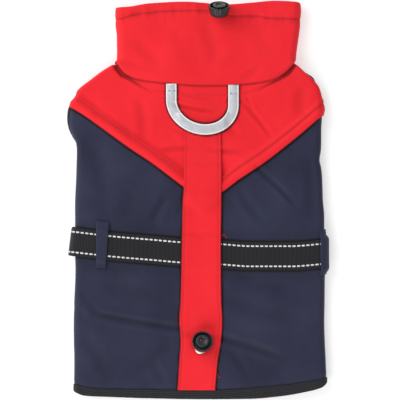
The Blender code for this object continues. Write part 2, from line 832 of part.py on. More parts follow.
def barrel_profile():
    """Half section of a cord lock's barrel: a cup with a well round the plunger's bore."""
    bore = PLUNGER_RADIUS + GAP
    well = LOCK_HEIGHT - LOCK_WELL_DEPTH
    inner = LOCK_RADIUS - LOCK_WALL
    return (
        (0.0, LOCK_FLOOR),
        (bore, LOCK_FLOOR),
        (bore, well),
        (inner - 0.6 * MM, well),
        (inner, LOCK_HEIGHT - 0.4 * MM),
        (inner + 0.4 * MM, LOCK_HEIGHT),
        (LOCK_RADIUS - 0.5 * MM, LOCK_HEIGHT),
        (LOCK_RADIUS, LOCK_HEIGHT - 0.6 * MM),
        (LOCK_RADIUS - 0.3 * MM, LOCK_HEIGHT * 0.55),
        (LOCK_FOOT_RADIUS + 0.9 * MM, 1.6 * MM),
        (LOCK_FOOT_RADIUS, 0.4 * MM),
        (LOCK_FOOT_RADIUS - 0.8 * MM, 0.0),
        (0.0, 0.0),
    )


def plunger_profile():
    """Half section of a plunger, which has room below it for its stroke."""
    top = LOCK_HEIGHT + PLUNGER_PROUD
    foot = LOCK_FLOOR + GAP + PLUNGER_STROKE
    return (
        (0.0, top - 0.3 * MM),
        (2.6 * MM, top - 0.2 * MM),
        (PLUNGER_RADIUS - 0.8 * MM, top),
        (PLUNGER_RADIUS, top - 0.7 * MM),
        (PLUNGER_RADIUS, foot + 0.3 * MM),
        (PLUNGER_RADIUS - 0.3 * MM, foot),
        (0.0, foot),
    )


def make_cord_hole(name, height):
    """A cutter across a cord lock."""
    mesh = bpy.data.meshes.new(name)
    builder = bmesh.new()
    bmesh.ops.create_cone(
        builder,
        cap_ends=True,
        segments=12,
        radius1=CORD_HOLE_RADIUS,
        radius2=CORD_HOLE_RADIUS,
        depth=LOCK_RADIUS * 3,
        matrix=Matrix.Translation((0, 0, height)) @ Matrix.Rotation(math.pi / 2, 4, "Y"),
    )
    builder.to_mesh(mesh)
    builder.free()
    return add_cutter(name, mesh)


def lock_frame(place, tilt, lift):
    """Where a cord lock stands: its foot's lowest edge on the cloth, leaning towards the neck."""
    x, y = place
    ground = on_tube(w_of(x, y), y, lift + GAP).z
    rise = (LOCK_FOOT_RADIUS - 0.8 * MM) * math.sin(tilt)
    return Matrix.Translation((x, y, ground + rise)) @ Matrix.Rotation(-tilt, 4, "X")


def make_cord_lock(label, frame):
    """Barrel and plunger of one cord lock. The plunger's hole waits above the barrel's."""
    barrel = turned("cord_lock_barrel_" + label, barrel_profile(), "lock_plastic")
    plunger = turned("cord_lock_plunger_" + label, plunger_profile(), "lock_plastic")
    holes = (
        (barrel, make_cord_hole("barrel_hole_" + label, CORD_HOLE_HEIGHT)),
        (plunger, make_cord_hole("plunger_hole_" + label, CORD_HOLE_HEIGHT + PLUNGER_STROKE)),
    )
    for piece, hole in holes:
        hole.matrix_world = frame
        piece.matrix_world = frame
        cut(piece, hole)


def make_cord_locks():
    """The collar's cord lock and the strip's, each on its eyelet."""
    strip_top = strip_lift(STRIP_LOCK_PLACE[1], STRIP_LOCK_PLACE[0])
    collar_top = GAP + COLLAR_CLOTH + CASING_BULGE
    make_eyelet("eyelet_strip", STRIP_EYELET_PLACE, strip_top)
    make_eyelet("eyelet_collar", COLLAR_EYELET_PLACE, collar_top)
    on_eyelet = 2 * GAP + EYELET_THICK
    make_cord_lock("strip", lock_frame(STRIP_LOCK_PLACE, STRIP_LOCK_TILT, strip_top))
    make_cord_lock("collar", lock_frame(COLLAR_LOCK_PLACE, COLLAR_LOCK_TILT, collar_top + on_eyelet))


# ---------------------------------------------------------------- the coat

clear_scene()
parts = new_collection("dog_coat")
cutters = new_collection("cutters")
materials = {name: make_material(name) for name in MATERIALS}

armholes = (Armhole("left", -1, 0.245, 0.17), Armhole("right", 1, 0.195, 0.17))
panels = (make_back_panel(), make_belly_panel(), make_yoke())
for armhole in armholes:
    plug = armhole.cutter()
    for panel in panels:
        cut(panel, plug)
    armhole.binding()

make_collar()
make_hem_band()
make_belt()
make_belt_loops()
make_centre_strip()
make_reflective_loop()
make_cord_locks()
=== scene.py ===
"""Looks of a dog coat that lies flat with its back side up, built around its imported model.

The frame is in metres: +X to the right of the back, +Y towards the neck, +Z up from the surface.
The cloth follows one flattened tube. A place on it is (w, y): y runs from the hem to the neck, and w
runs round the tube, 0 at the middle of the back, -1 and 1 at the side folds and -2 or 2 at the middle
of the belly. Every cloth piece is a wall with rounded edges on that tube, with its own rows, columns,
lift and creases, and lines of stitches lie on it.
"""

import logging
import math
from dataclasses import dataclass
from enum import Enum
from typing import Callable, Sequence

import bmesh
import bpy
import numpy as np
from mathutils import Matrix, Vector


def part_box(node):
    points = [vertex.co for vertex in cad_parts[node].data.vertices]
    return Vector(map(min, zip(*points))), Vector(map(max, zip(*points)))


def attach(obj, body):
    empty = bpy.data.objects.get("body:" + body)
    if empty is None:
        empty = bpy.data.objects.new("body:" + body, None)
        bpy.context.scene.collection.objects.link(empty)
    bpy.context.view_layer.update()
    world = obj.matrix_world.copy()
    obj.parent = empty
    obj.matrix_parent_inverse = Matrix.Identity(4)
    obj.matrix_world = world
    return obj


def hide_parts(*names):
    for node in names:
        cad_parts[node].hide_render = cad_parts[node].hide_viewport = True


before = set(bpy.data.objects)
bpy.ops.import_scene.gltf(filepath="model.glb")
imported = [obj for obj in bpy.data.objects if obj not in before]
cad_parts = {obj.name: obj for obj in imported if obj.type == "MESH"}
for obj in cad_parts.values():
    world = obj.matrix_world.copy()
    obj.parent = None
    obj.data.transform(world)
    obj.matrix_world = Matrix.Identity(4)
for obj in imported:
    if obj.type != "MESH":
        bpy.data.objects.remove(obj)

log = logging.getLogger("dog_coat")

MM = 0.001
COAT = "coat"

Array = np.ndarray
Row = Callable[[Array, Array], Array]
Column = Callable[[Array], Array]
Thing = bpy.types.Object
Material = bpy.types.Material
Socket = bpy.types.NodeSocket
Tree = bpy.types.NodeTree

# ---------------- sizes shared by the pieces

GAP = 0.3 * MM
CLOTH = 2.0 * MM
COLLAR_CLOTH = 2.4 * MM
STRIP_CLOTH = 1.5 * MM
TAPE_CLOTH = 1.5 * MM
LOOP_CLOTH = 1.2 * MM
BAND_CLOTH = 3.0 * MM
BELT_CLOTH = 1.5 * MM
BELT_WIDTH = 26.3 * MM
BELT_CLEAR = GAP + BELT_CLOTH
BELT_FLAT = BELT_WIDTH / 2 + 0.7 * MM
BELT_RAMP = BELT_FLAT + 6.0 * MM
STRIP_LOCK = (4.4 * MM, -134.4 * MM)
COLLAR_LOCK = (19.9 * MM, 172.1 * MM)
FLAT_SHARE = 0.88
FOLD_SHARE = 2 - FLAT_SHARE
PROUD_BELOW = 0.12 * MM


class Side(Enum):
    """A side of the coat as seen from above."""

    LEFT = -1
    RIGHT = 1


class Fold(Enum):
    """How a seam or crease shapes the cloth."""

    TROUGH = 1.0
    RIDGE = -1.0


# ---------------- curves


def ramp(value: Array, start: float, end: float) -> Array:
    """0 up to start, 1 from end, and a soft step between."""
    t = np.clip((value - start) / (end - start), 0.0, 1.0)
    return t * t * (3 - 2 * t)


def mix(a: Array, b: Array, share: Array) -> Array:
    """The value that lies this share of the way from a to b."""
    return a + (b - a) * share


def on_back(w: Array) -> Array:
    """1 on the coat's back and 0 on its belly, with a soft step at the side folds."""
    return 1 - ramp(np.abs(w), 0.95, 1.05)


def lengths_along(points: Array) -> Array:
    """Each point's distance from the first one, along the line through them."""
    return np.concatenate([[0.0], np.cumsum(np.linalg.norm(np.diff(points, axis=0), axis=-1))])


class SmoothCurve:
    """A smooth function through set places that never overshoots."""

    def __init__(self, rows: Sequence[tuple[float, float]]) -> None:
        """Work out the slope at each row.

        Args:
            rows: (place, value), in millimetres.
        """
        table = np.array(rows, float) * MM
        self.places, self.values = table[:, 0], table[:, 1]
        rises = np.diff(self.values) / np.diff(self.places)
        same_way = rises[:-1] * rises[1:] > 0
        total = np.where(same_way, rises[:-1] + rises[1:], 1.0)
        inner = np.where(same_way, 2 * rises[:-1] * rises[1:] / total, 0.0)
        self.slopes = np.concatenate([rises[:1], inner, rises[-1:]])

    def __call__(self, place: Array) -> Array:
        """The curve's value at each place.

        Args:
            place: in metres.

        Returns:
            The values, in metres.
        """
        place = np.clip(place, self.places[0], self.places[-1])
        last = len(self.places) - 2
        i = np.clip(np.searchsorted(self.places, place, side="right") - 1, 0, last)
        step = self.places[i + 1] - self.places[i]
        t = (place - self.places[i]) / step
        start = (1 + 2 * t) * (1 - t) ** 2 * self.values[i] + t * (1 - t) ** 2 * step * self.slopes[i]
        end = t * t * (3 - 2 * t) * self.values[i + 1] + t * t * (t - 1) * step * self.slopes[i + 1]
        return start + end


# Outline of the tube as seen from above. Rows are (y, x), in millimetres.
left_side = SmoothCurve((
    (-190, -115.6), (-180, -116.4), (-135, -116.4), (-94, -116.4), (-60, -115.4), (-15, -115.4),
    (26, -114.5), (47, -113.7), (53, -114.2), (60, -117.3), (68, -120.6), (77, -121.9), (84, -121.6),
    (90, -119.2), (97, -115.0), (102, -113.5), (105.5, -110.6), (113, -100.6), (120.5, -90.2),
    (127.5, -79.0), (131, -73.6), (154, -73.4), (165, -74.6), (190, -74.6),
))
right_side = SmoothCurve((
    (-190, 118.5), (-176, 120.3), (-169, 120.9), (-155, 120.1), (-135, 119.6), (-94, 119.6),
    (-71, 119.8), (-60, 119.2), (-38, 119.0), (-15, 119.2), (0, 117.9), (22, 116.7), (30, 115.8),
    (37.5, 114.4), (47, 115.8), (56, 116.2), (77, 116.2), (90, 116.4), (98, 116.2), (105.5, 114.2),
    (112, 109.6), (116.5, 105.0), (120.5, 100.4), (127.5, 93.2), (131, 89.8), (142, 91.0),
    (154, 92.4), (165, 93.4), (190, 93.4),
))

# Height of the tube's upper and lower face. Rows are (y, z), in millimetres.
upper_face = SmoothCurve((
    (-190, 10.6), (-160, 11.3), (-90, 11.4), (-45, 12.6), (0, 11.5), (60, 11.3), (110, 12.2),
    (131, 12.6), (160, 12.4), (190, 11.6),
))
lower_face = SmoothCurve((
    (-190, 0.7), (-172, 0.7), (-160, 0.0), (20, 0.0), (34, 0.5), (84, 0.5), (98, 2.7), (164, 2.7),
    (176, 3.5), (190, 3.5),
))

# Edges and seams as seen from above. Rows are (x, y), in millimetres.
HEM_LEFT = -116.4 * MM
HEM_RIGHT = 120.9 * MM
hem_edge = SmoothCurve((
    (-116.4, -180.2), (-106, -183.8), (-82.5, -184.9), (-45, -186.2), (2, -187.0), (49, -186.6),
    (78, -184.2), (101, -180.2), (116.8, -175.8), (120.9, -172.0),
))
hem_seam = SmoothCurve((
    (-116.4, -172.8), (-92, -176.7), (-45, -177.7), (18, -178.0), (55, -175.8), (92, -172.0),
    (115, -168.2), (120.9, -166.4),
))
yoke_edge = SmoothCurve((
    (-118.3, 86.0), (-107.0, 79.0), (-91.0, 67.7), (-65.1, 48.9), (-42.6, 33.8), (-13.9, 12.2),
    (5.8, -2.0), (22.3, 6.6), (38.7, 18.8), (61.3, 33.8), (81.0, 48.9), (99.4, 63.9),
    (115.8, 79.0), (118.6, 82.7),
))
neck_seam = SmoothCurve((
    (-77.0, 131.0), (-74.5, 126.0), (-68.4, 118.4), (-59.0, 113.7), (-44.9, 110.9), (-30.8, 109.5),
    (2.1, 107.2), (25.6, 107.2), (39.7, 108.1), (53.8, 109.5), (63.2, 110.9), (72.6, 113.7),
    (82.0, 119.4), (88.0, 125.5), (92.0, 130.5),
))
collar_edge = SmoothCurve((
    (-76.0, 180.5), (-65.6, 181.0), (-45.0, 184.2), (-13.0, 185.7), (6.0, 184.7), (19.9, 183.0),
    (31.2, 183.3), (49.0, 184.7), (72.6, 186.6), (91.4, 185.7), (96.0, 183.8),
))
casing_seam = SmoothCurve((
    (-76.0, 168.5), (-69.4, 170.2), (-58.0, 173.6), (-46.8, 174.8), (-24.3, 176.7), (4.0, 177.2),
    (20.0, 174.4), (34.0, 172.0), (54.7, 172.0), (66.0, 170.2), (96.0, 169.2),
))
belt_line_back = SmoothCurve((
    (-122.0, -38.0), (-105.1, -40.4), (-82.5, -43.2), (-38.4, -47.0), (-16.7, -48.9),
    (23.7, -50.9), (49.1, -52.6), (86.7, -52.6), (121.0, -50.0),
))
belt_line_belly = SmoothCurve(((-122.0, -38.0), (121.0, -50.0)))

# Edges of the centre strip. Rows are (y, x), in millimetres.
strip_left = SmoothCurve((
    (-180, -19.3), (-150, -17.4), (-132, -16.3), (-113, -17.5), (-94, -16.3), (-47, -15.2),
    (0, -14.3), (11, -13.3), (70, -13.0),
))
strip_right = SmoothCurve((
    (-180, 16.4), (-150, 19.0), (-132, 22.0), (-113, 23.2), (-94, 22.3), (-47, 21.8), (0, 22.3),
    (11, 22.3), (70, 21.8),
))


# ---------------- creases


@dataclass(frozen=True)
class Crease:
    """A soft trough or ridge along a line on the cloth, in millimetres."""

    x1: float
    y1: float
    x2: float
    y2: float
    half_width: float
    depth: float
    bow: float = 0.0
    fold: Fold = Fold.TROUGH
    start_share: float = 0.25

    def height(self, x: Array, y: Array) -> Array:
        """How far the cloth moves out at each place, with soft shoulders beside the line.

        Args:
            x: places across the coat, in metres.
            y: places along the coat, in metres.

        Returns:
            Heights, in metres, below 0 in a trough.
        """
        start = np.array((self.x1, self.y1)) * MM
        along = np.array((self.x2, self.y2)) * MM - start
        length = np.linalg.norm(along)
        unit = along / length
        share = ((x - start[0]) * unit[0] + (y - start[1]) * unit[1]) / length
        aside = (x - start[0]) * -unit[1] + (y - start[1]) * unit[0]
        held = np.clip(share, 0.0, 1.0)
        aside = aside - self.bow * MM * 4 * held * (1 - held)
        fade = ramp(share, -0.02, self.start_share) * (1 - ramp(share, 0.62, 1.02))
        reach = np.abs(aside) / (self.half_width * MM)
        trough = np.where(reach < 1, np.cos(np.minimum(reach, 1) * math.pi / 2) ** 2, 0.0)
        shoulder = np.exp(-(((reach - 1.25) / 0.42) ** 2))
        return self.depth * MM * self.fold.value * fade * (0.28 * shoulder - trough)


def crease_height(creases: Sequence[Crease], x: Array, y: Array) -> Array:
    """How far all these creases together move the cloth out, in metres."""
    return sum(crease.height(x, y) for crease in creases)


@dataclass(frozen=True)
class Ripple:
    """Soft unevenness of cloth that lies loosely: a few long waves in seeded directions."""

    seed: int
    height_mm: float
    shortest_mm: float
    longest_mm: float
    waves: int = 9

    def height(self, x: Array, y: Array) -> Array:
        """How far the cloth moves out at each place.

        Args:
            x: places across the coat, in metres.
            y: places along the coat, in metres.

        Returns:
            Heights, in metres.
        """
        draw = np.random.default_rng(self.seed)
        total = np.zeros(np.broadcast(x, y).shape)
        for _ in range(self.waves):
            angle = draw.uniform(0, math.pi)
            wave = math.tau / (draw.uniform(self.shortest_mm, self.longest_mm) * MM)
            phase = draw.uniform(0, math.tau)
            total = total + np.sin(wave * (x * math.cos(angle) + y * math.sin(angle)) + phase)
        return total * self.height_mm * MM / math.sqrt(self.waves)


BACK_CREASES = (
    Crease(52, 33, 98, -12, 3.8, 1.3, bow=1.5, start_share=0.12),
    Crease(36, 14, 66, -26, 6.0, 0.7, bow=-2.0),
    Crease(-26, 6, -44, -26, 6.0, 1.1, bow=-2.0),
    Crease(-56, 10, -74, -26, 11.0, 0.7),
    Crease(-100, -105.5, 14, -124, 4.6, 1.6, bow=-1.5, start_share=0.14),
    Crease(-92, -82, -26, -92, 10.0, 0.7, bow=2.0),
    Crease(12, -126.5, 86, -149.5, 5.0, 1.4, bow=1.0, start_share=0.14),
    Crease(20, -93, 62, -98, 7.0, 0.5, bow=-1.0),
    Crease(-116, -92, -98, -112, 6.0, 0.8, bow=1.0, fold=Fold.RIDGE),
    Crease(28, -100, 106, -110, 10.0, 0.7, bow=-3.0),
    Crease(-22, -130, -72, -168, 9.0, 0.8, bow=3.0),
    Crease(-112, -124, -82, -168, 9.0, 0.7, bow=2.0),
    Crease(-98, 54, -84, 0, 11.0, 0.7, bow=-2.0),
    Crease(102, 46, 107, -24, 8.0, 0.6, bow=2.0),
    Crease(-110, -60, -64, -70, 8.0, 0.6, bow=2.0),
    Crease(32, -68, 90, -84, 9.0, 0.6, bow=-2.0),
    Crease(-12, 8, -20, -22, 4.0, 0.5),
    Crease(30, -140, 50, -172, 6.0, 0.5, bow=1.5),
    Crease(-44, -150, -30, -174, 6.0, 0.5),
)

BELLY_CREASES = (
    Crease(-80, -150, 30, -128, 11.0, 1.6, bow=4.0),
    Crease(70, -160, 84, -92, 9.0, 1.3, bow=-3.0),
    Crease(-40, -96, 62, -78, 10.0, 1.5, bow=-4.0),
    Crease(-70, 4, 12, -16, 12.0, 1.6, bow=3.0),
    Crease(28, 6, 88, 36, 9.0, 1.3, bow=3.0),
    Crease(-58, 44, -20, 84, 10.0, 1.5, bow=-2.0),
    Crease(18, 60, 46, 98, 9.0, 1.1, bow=2.0),
    Crease(-96, -60, -60, -110, 9.0, 1.0, bow=2.0),
)

YOKE_CREASES = (
    Crease(-27, 91, 25, 83, 2.8, 1.5, bow=-2.0, start_share=0.1),
    Crease(-16, 99, 18, 95, 2.4, 0.7, bow=-1.0),
    Crease(41, 93, 72, 54, 3.0, 1.0, bow=1.5, start_share=0.12),
    Crease(45, 98, 53, 82, 2.2, 0.8),
    Crease(-36, 46, 2, 48, 4.0, 1.25, bow=1.0),
    Crease(5, 48, 50, 45, 4.0, 1.25, bow=-1.0),
    Crease(-56, 98, -51, 50, 7.0, 0.7, bow=2.0),
    Crease(98, 108, 97, 74, 8.0, 0.8, bow=-1.5),
    Crease(-100, 86, -76, 70, 7.0, 0.5, bow=-2.0),
    Crease(26, 80, 36, 58, 5.0, 0.5),
    Crease(-22, 66, -4, 58, 4.0, 0.5),
    Crease(-86, 74, -58, 58, 5.0, 0.4, bow=2.0),
)


@dataclass(frozen=True)
class Tube:
    """The coat's own surface: a flattened tube with soft folds at both sides."""

    back_ripple: Ripple = Ripple(seed=11, height_mm=0.46, shortest_mm=26, longest_mm=110)
    belly_ripple: Ripple = Ripple(seed=12, height_mm=0.40, shortest_mm=28, longest_mm=110)
    deepest: float = 1.7 * MM

    def floor(self, x: Array, y: Array) -> Array:
        """Height of the lower face, which lies over the belt that passes beneath."""
        aside = np.abs(y - belt_line_belly(x))
        return lower_face(y) + BELT_CLEAR * (1 - ramp(aside, BELT_FLAT, BELT_RAMP))

    def point(self, w: Array, y: Array) -> Array:
        """The plain outer surface at (w, y), without creases.

        Args:
            w: places round the tube.
            y: places along it, in metres.

        Returns:
            Points with X, Y and Z on the last axis.
        """
        w, y = np.broadcast_arrays(np.asarray(w, float), np.asarray(y, float))
        left, right = left_side(y), right_side(y)
        middle = (left + right) / 2
        side = np.where(w < 0, -1.0, 1.0)
        reach = np.abs(w)
        top = upper_face(y)
        side_floor = self.floor(np.where(side > 0, right, left), y)
        radius = (top - side_floor) / 2
        flat = (right - left) / 2 - radius
        turn = math.pi / 2 * (1 - (np.clip(reach, FLAT_SHARE, FOLD_SHARE) - FLAT_SHARE) / (1 - FLAT_SHARE))
        x_over = middle + side * flat * reach / FLAT_SHARE
        x_under = middle + side * flat * (2 - reach) / FLAT_SHARE
        x_fold = middle + side * (flat + radius * np.cos(turn))
        z_fold = side_floor + radius * (1 + np.sin(turn))
        over, under = reach <= FLAT_SHARE, reach >= FOLD_SHARE
        x = np.where(over, x_over, np.where(under, x_under, x_fold))
        z = np.where(over, top, np.where(under, self.floor(x_under, y), z_fold))
        return np.stack([x, y, z], axis=-1)

    def x(self, w: Array, y: Array) -> Array:
        """The X of the plain surface at (w, y)."""
        return self.point(w, y)[..., 0]

    def normal(self, w: Array, y: Array) -> Array:
        """The outward direction of the plain surface.

        Args:
            w: places round the tube.
            y: places along it, in metres.

        Returns:
            Directions of length 1, with X, Y and Z on the last axis.
        """
        step_w, step_y = 0.012, 0.8 * MM
        w, y = np.broadcast_arrays(np.asarray(w, float), np.asarray(y, float))
        across = self.point(w + step_w, y) - self.point(w - step_w, y)
        across = np.where((np.abs(w) > 2 - step_w)[..., None], np.array((-1.0, 0, 0)), across)
        along = self.point(w, y + step_y) - self.point(w, y - step_y)
        out = np.cross(across, along)
        return out / np.linalg.norm(out, axis=-1, keepdims=True)

    def relief(self, w: Array, y: Array) -> Array:
        """How far the loosely lying cloth moves out: the creases and ripples of back and belly.

        Args:
            w: places round the tube.
            y: places along it, in metres.

        Returns:
            Heights, in metres, never above 0 on the belly.
        """
        x = self.x(w, y)
        over = crease_height(BACK_CREASES + YOKE_CREASES, x, y) + self.back_ripple.height(x, y)
        pressed = 1 - ramp(np.abs(y - belt_line_back(x)), BELT_FLAT, BELT_FLAT + 14 * MM)
        over = over * (1 - 0.65 * pressed)
        under = crease_height(BELLY_CREASES, x, y) + self.belly_ripple.height(x, y)
        under = np.minimum(under, 0.0)
        return mix(over, under, ramp(np.abs(w), 0.93, 1.10))

    def fold_shade(self, w: Array, y: Array) -> Array:
        """Painted shade in the creases' troughs, and painted highlight on their shoulders.

        Args:
            w: places round the tube.
            y: places along it, in metres.

        Returns:
            1 of painted shade in the deepest troughs, and below 0, painted highlight, on the creases'
            shoulders.
        """
        x = self.x(w, y)
        over = crease_height(BACK_CREASES + YOKE_CREASES, x, y)
        under = crease_height(BELLY_CREASES, x, y)
        return -mix(over, under, ramp(np.abs(w), 0.93, 1.10)) / self.deepest

    def bridged_relief(self, w: Array, y: Array) -> Array:
        """The relief of what lies on the cloth, which passes over half the depth of a trough."""
        relief = self.relief(w, y)
        return np.maximum(relief, relief * 0.5)

    def w_of(self, x: Array, y: Array) -> Array:
        """The place round the tube of points on the upper face.

        Args:
            x: places across the coat, in metres.
            y: places along the coat, in metres.

        Returns:
            The places w.
        """
        left, right = left_side(y), right_side(y)
        radius = (upper_face(y) - self.floor(left, y)) / 2
        flat = (right - left) / 2 - radius
        return (x - (left + right) / 2) / flat * FLAT_SHARE


tube = Tube()


# ---------------- rows, columns and patches

METRES_PER_W = 0.128
ARMHOLE_BOTTOM = 36.0 * MM
ARMHOLE_TOP = 120.0 * MM
ARMHOLE_POWER = 0.3
ARMHOLE_INSET = 0.004
SEAM_GAP_W = 0.0025
RIM_CLEAR = 1.1 * MM


def seam_w(y: Array) -> Array:
    """Place of the belly seam, which moves out towards the shoulder above the armhole."""
    return mix(1.25, 1.16, ramp(y, ARMHOLE_BOTTOM, ARMHOLE_TOP))


def row_at(edge: SmoothCurve, aside: float = 0.0) -> Row:
    """A row that follows an edge, moved along Y by aside."""
    return lambda x, under: edge(x) + aside


def hem_row(edge: SmoothCurve, aside: float = 0.0) -> Row:
    """A row along the hem: it follows an edge on the back, and runs straight under the belly."""
    ends = edge(np.array((HEM_LEFT, HEM_RIGHT)))
    slope = (ends[1] - ends[0]) / (HEM_RIGHT - HEM_LEFT)
    return lambda x, under: aside + np.where(under, ends[0] + slope * (x - HEM_LEFT), edge(x))


def belt_row(aside: float) -> Row:
    """A row beside the belt's middle line."""
    return lambda x, under: np.where(under, belt_line_belly(x), belt_line_back(x)) + aside


@dataclass(frozen=True)
class Lines:
    """Lines across a patch from its first edge to its last.

    Attributes:
        share: how far each line lies on the way between the edges, from 0 to 1.
        offset: what is added to that place, in metres.
        edge: each line's distance from the nearest open edge, in metres.
    """

    share: Array
    offset: Array
    edge: Array

    @staticmethod
    def between(span: float, step: float, first: Sequence[float], last: Sequence[float]) -> "Lines":
        """Lines at set distances from both edges, and evenly spaced ones between them.

        Args:
            span: the usual distance between the edges, in metres.
            step: the spacing of the lines between, in metres.
            first: rising distances from the first edge, in metres.
            last: rising distances from the last edge, in metres.

        Returns:
            The lines, from the first edge to the last.
        """
        count = max(2, round((span - first[-1] - last[-1]) / step))
        inner = np.arange(1, count) / count
        share = np.concatenate([np.zeros(len(first)), inner, np.ones(len(last))])
        middle = first[-1] * (1 - inner) - last[-1] * inner
        offset = np.concatenate([np.array(first), middle, -np.array(last[::-1])])
        edge = np.concatenate([np.array(first), np.ones(len(inner)), np.array(last[::-1])])
        return Lines(share, offset, edge)

    @staticmethod
    def round_ring(count: int) -> "Lines":
        """Evenly spaced lines all round, with no open edge."""
        return Lines(np.arange(count) / count, np.zeros(count), np.ones(count))


def edge_lines(thickness: float, *stitched: float) -> list[float]:
    """Distances from an open edge where its rounding and its lines of stitches need lines.

    Args:
        thickness: of the cloth.
        stitched: distances of lines of stitches from the edge.

    Returns:
        The distances, rising, in metres.
    """
    near = [thickness / 2 * share for share in (0.0, 0.15, 0.5, 1.0)]
    for place in stitched:
        near += [place + aside * MM for aside in (-1.1, -0.5, 0.0, 0.5, 1.1)]
    return sorted(near)


def plain_lines(span: float, step: float, thickness: float) -> Lines:
    """Lines between two open edges of a cloth that have no stitches."""
    return Lines.between(span, step, edge_lines(thickness), edge_lines(thickness))


def nearest_edge(rows: Lines, columns: Lines) -> Array:
    """Distance from the nearest open edge at each crossing of rows and columns."""
    return np.minimum(rows.edge[:, None], columns.edge[None, :])


@dataclass
class Patch:
    """A grid of places on the tube.

    Attributes:
        w: places round the tube, one row after another.
        y: places along the tube, in metres.
        edge: distances from the nearest open edge, in metres.
        ring: whether the last column meets the first.
        along: the cloth's own direction for each place, in metres, where it isn't y.
        bulge: how much higher than usual the outer face stands at each place, in metres.
        inside_opening: which places lie inside an opening that is cut out.
        rim: which places lie at the edge of what is cut out.
    """

    w: Array
    y: Array
    edge: Array
    ring: bool = False
    along: Array | None = None
    bulge: Array | float = 0.0
    inside_opening: Array | None = None
    rim: Array | None = None

    def kept_faces(self) -> Array:
        """Which faces of the grid stay; those wholly inside the opening are cut out."""
        if self.inside_opening is None:
            return np.ones((self.w.shape[0] - 1, self.w.shape[1] - (0 if self.ring else 1)), bool)
        hole = self.inside_opening
        return ~(hole[:-1, :-1] & hole[1:, :-1] & hole[:-1, 1:] & hole[1:, 1:])

    def cut_opening(self, inside: Array) -> None:
        """Cut an opening out of the patch.

        Args:
            inside: whether each place lies inside the opening.
        """
        self.inside_opening = inside
        kept = self.kept_faces()
        beside_cut, beside_cloth = np.zeros(inside.shape, bool), np.zeros(inside.shape, bool)
        for down in (0, 1):
            for right in (0, 1):
                rows = slice(down, down + kept.shape[0])
                columns = slice(right, right + kept.shape[1])
                beside_cut[rows, columns] |= ~kept
                beside_cloth[rows, columns] |= kept
        self.rim = beside_cut & beside_cloth
        self.edge = np.where(self.rim, 0.0, self.edge)

    def draw_rim(self, side: Side, w: Array, y: Array) -> None:
        """Draw the rim's places on one side of the coat onto an outline, and push others clear of it.

        Args:
            side: the side of the coat.
            w: the outline's places round the tube.
            y: the outline's places along the tube.
        """
        on_side = self.w * side.value > 0
        rim = self.rim & on_side
        away = np.hypot((self.w[rim, None] - w) * METRES_PER_W, self.y[rim, None] - y)
        nearest = away.argmin(axis=1)
        self.w[rim], self.y[rim] = w[nearest], y[nearest]
        near = ~self.inside_opening & on_side
        near &= np.abs(self.w) > np.abs(w).min() - RIM_CLEAR / METRES_PER_W
        near &= (self.y > y.min() - RIM_CLEAR) & (self.y < y.max() + RIM_CLEAR)
        offset_w = (self.w[near, None] - w) * METRES_PER_W
        offset_y = self.y[near, None] - y
        away = np.hypot(offset_w, offset_y)
        nearest = np.arange(len(away)), away.argmin(axis=1)
        distance = away[nearest]
        push = np.maximum(RIM_CLEAR / np.maximum(distance, 0.05 * MM) - 1, 0.0) * (distance < RIM_CLEAR)
        self.w[near] += offset_w[nearest] * push / METRES_PER_W
        self.y[near] += offset_y[nearest] * push

    @staticmethod
    def on_tube(
        low: Row, high: Row, rows: Lines, left: Column, right: Column, columns: Lines, ring: bool = False
    ) -> "Patch":
        """The patch between two rows and two columns.

        Args:
            low: the row at the patch's lower edge.
            high: the row at its upper edge.
            rows: the lines between those two.
            left: the column at the patch's first side.
            right: the column at its last side, which may lie beyond w = 2.
            columns: the lines between those two.
            ring: whether the patch goes all round.

        Returns:
            The patch.
        """
        share_y, offset_y = rows.share[:, None], rows.offset[:, None]
        share_w, offset_w = columns.share[None, :], columns.offset[None, :] / METRES_PER_W
        y = np.zeros((len(rows.share), len(columns.share)))
        w = y
        for _ in range(34):
            w = mix(left(y), right(y), share_w) + offset_w
            w = np.where(w > 2, w - 4, w)
            x, under = tube.x(w, y), np.abs(w) > 1
            y = mix(y, mix(low(x, under), high(x, under), share_y) + offset_y, 0.5)
        return Patch(w, y, nearest_edge(rows, columns), ring)

    @staticmethod
    def on_upper_face(x: Array, y: Array, edge: Array, bulge: Array | float = 0.0) -> "Patch":
        """The patch through points of the upper face, given in either order across.

        Args:
            x: the points' places across the coat, one row after another.
            y: their places along the coat.
            edge: their distances from the nearest open edge.
            bulge: how much higher than usual the outer face stands there.

        Returns:
            The patch.
        """
        grids = [x, y, edge, np.broadcast_to(bulge, x.shape)]
        across, upwards = x[0, 1] - x[0, 0], x[1, 0] - x[0, 0]
        turn = across * (y[1, 0] - y[0, 0]) - upwards * (y[0, 1] - y[0, 0])
        if turn < 0:
            grids = [grid[:, ::-1] for grid in grids]
        x, y, edge, bulge = grids
        return Patch(tube.w_of(x, y), y, edge, bulge=bulge)


def ring_patch(low: Row, high: Row, rows: Lines, count: int) -> Patch:
    """A patch all round the tube between two rows."""
    columns = Lines.round_ring(count)
    return Patch.on_tube(low, high, rows, lambda y: y * 0 - 2, lambda y: y * 0 + 2, columns, ring=True)


def follow(row: Row, w: Array, start: float) -> Array:
    """Find the places along the tube where a row lies.

    Args:
        row: the row.
        w: places round the tube.
        start: about where the row lies, in metres.

    Returns:
        The places y.
    """
    y = np.full(w.shape, start)
    for _ in range(30):
        y = mix(y, row(tube.x(w, y), np.abs(w) > 1), 0.5)
    return y


# ---------------- meshes


def round_length() -> tuple[Array, Array]:
    """Places w round the tube with their distance from the middle of the back, at y = 0."""
    places = np.linspace(-2, 2, 801)
    lengths = lengths_along(tube.point(places, 0.0))
    return places, lengths - lengths[len(lengths) // 2]


ROUND_PLACES, ROUND_LENGTHS = round_length()
SHADE_LOW, SHADE_HIGH = -0.4, 4.0


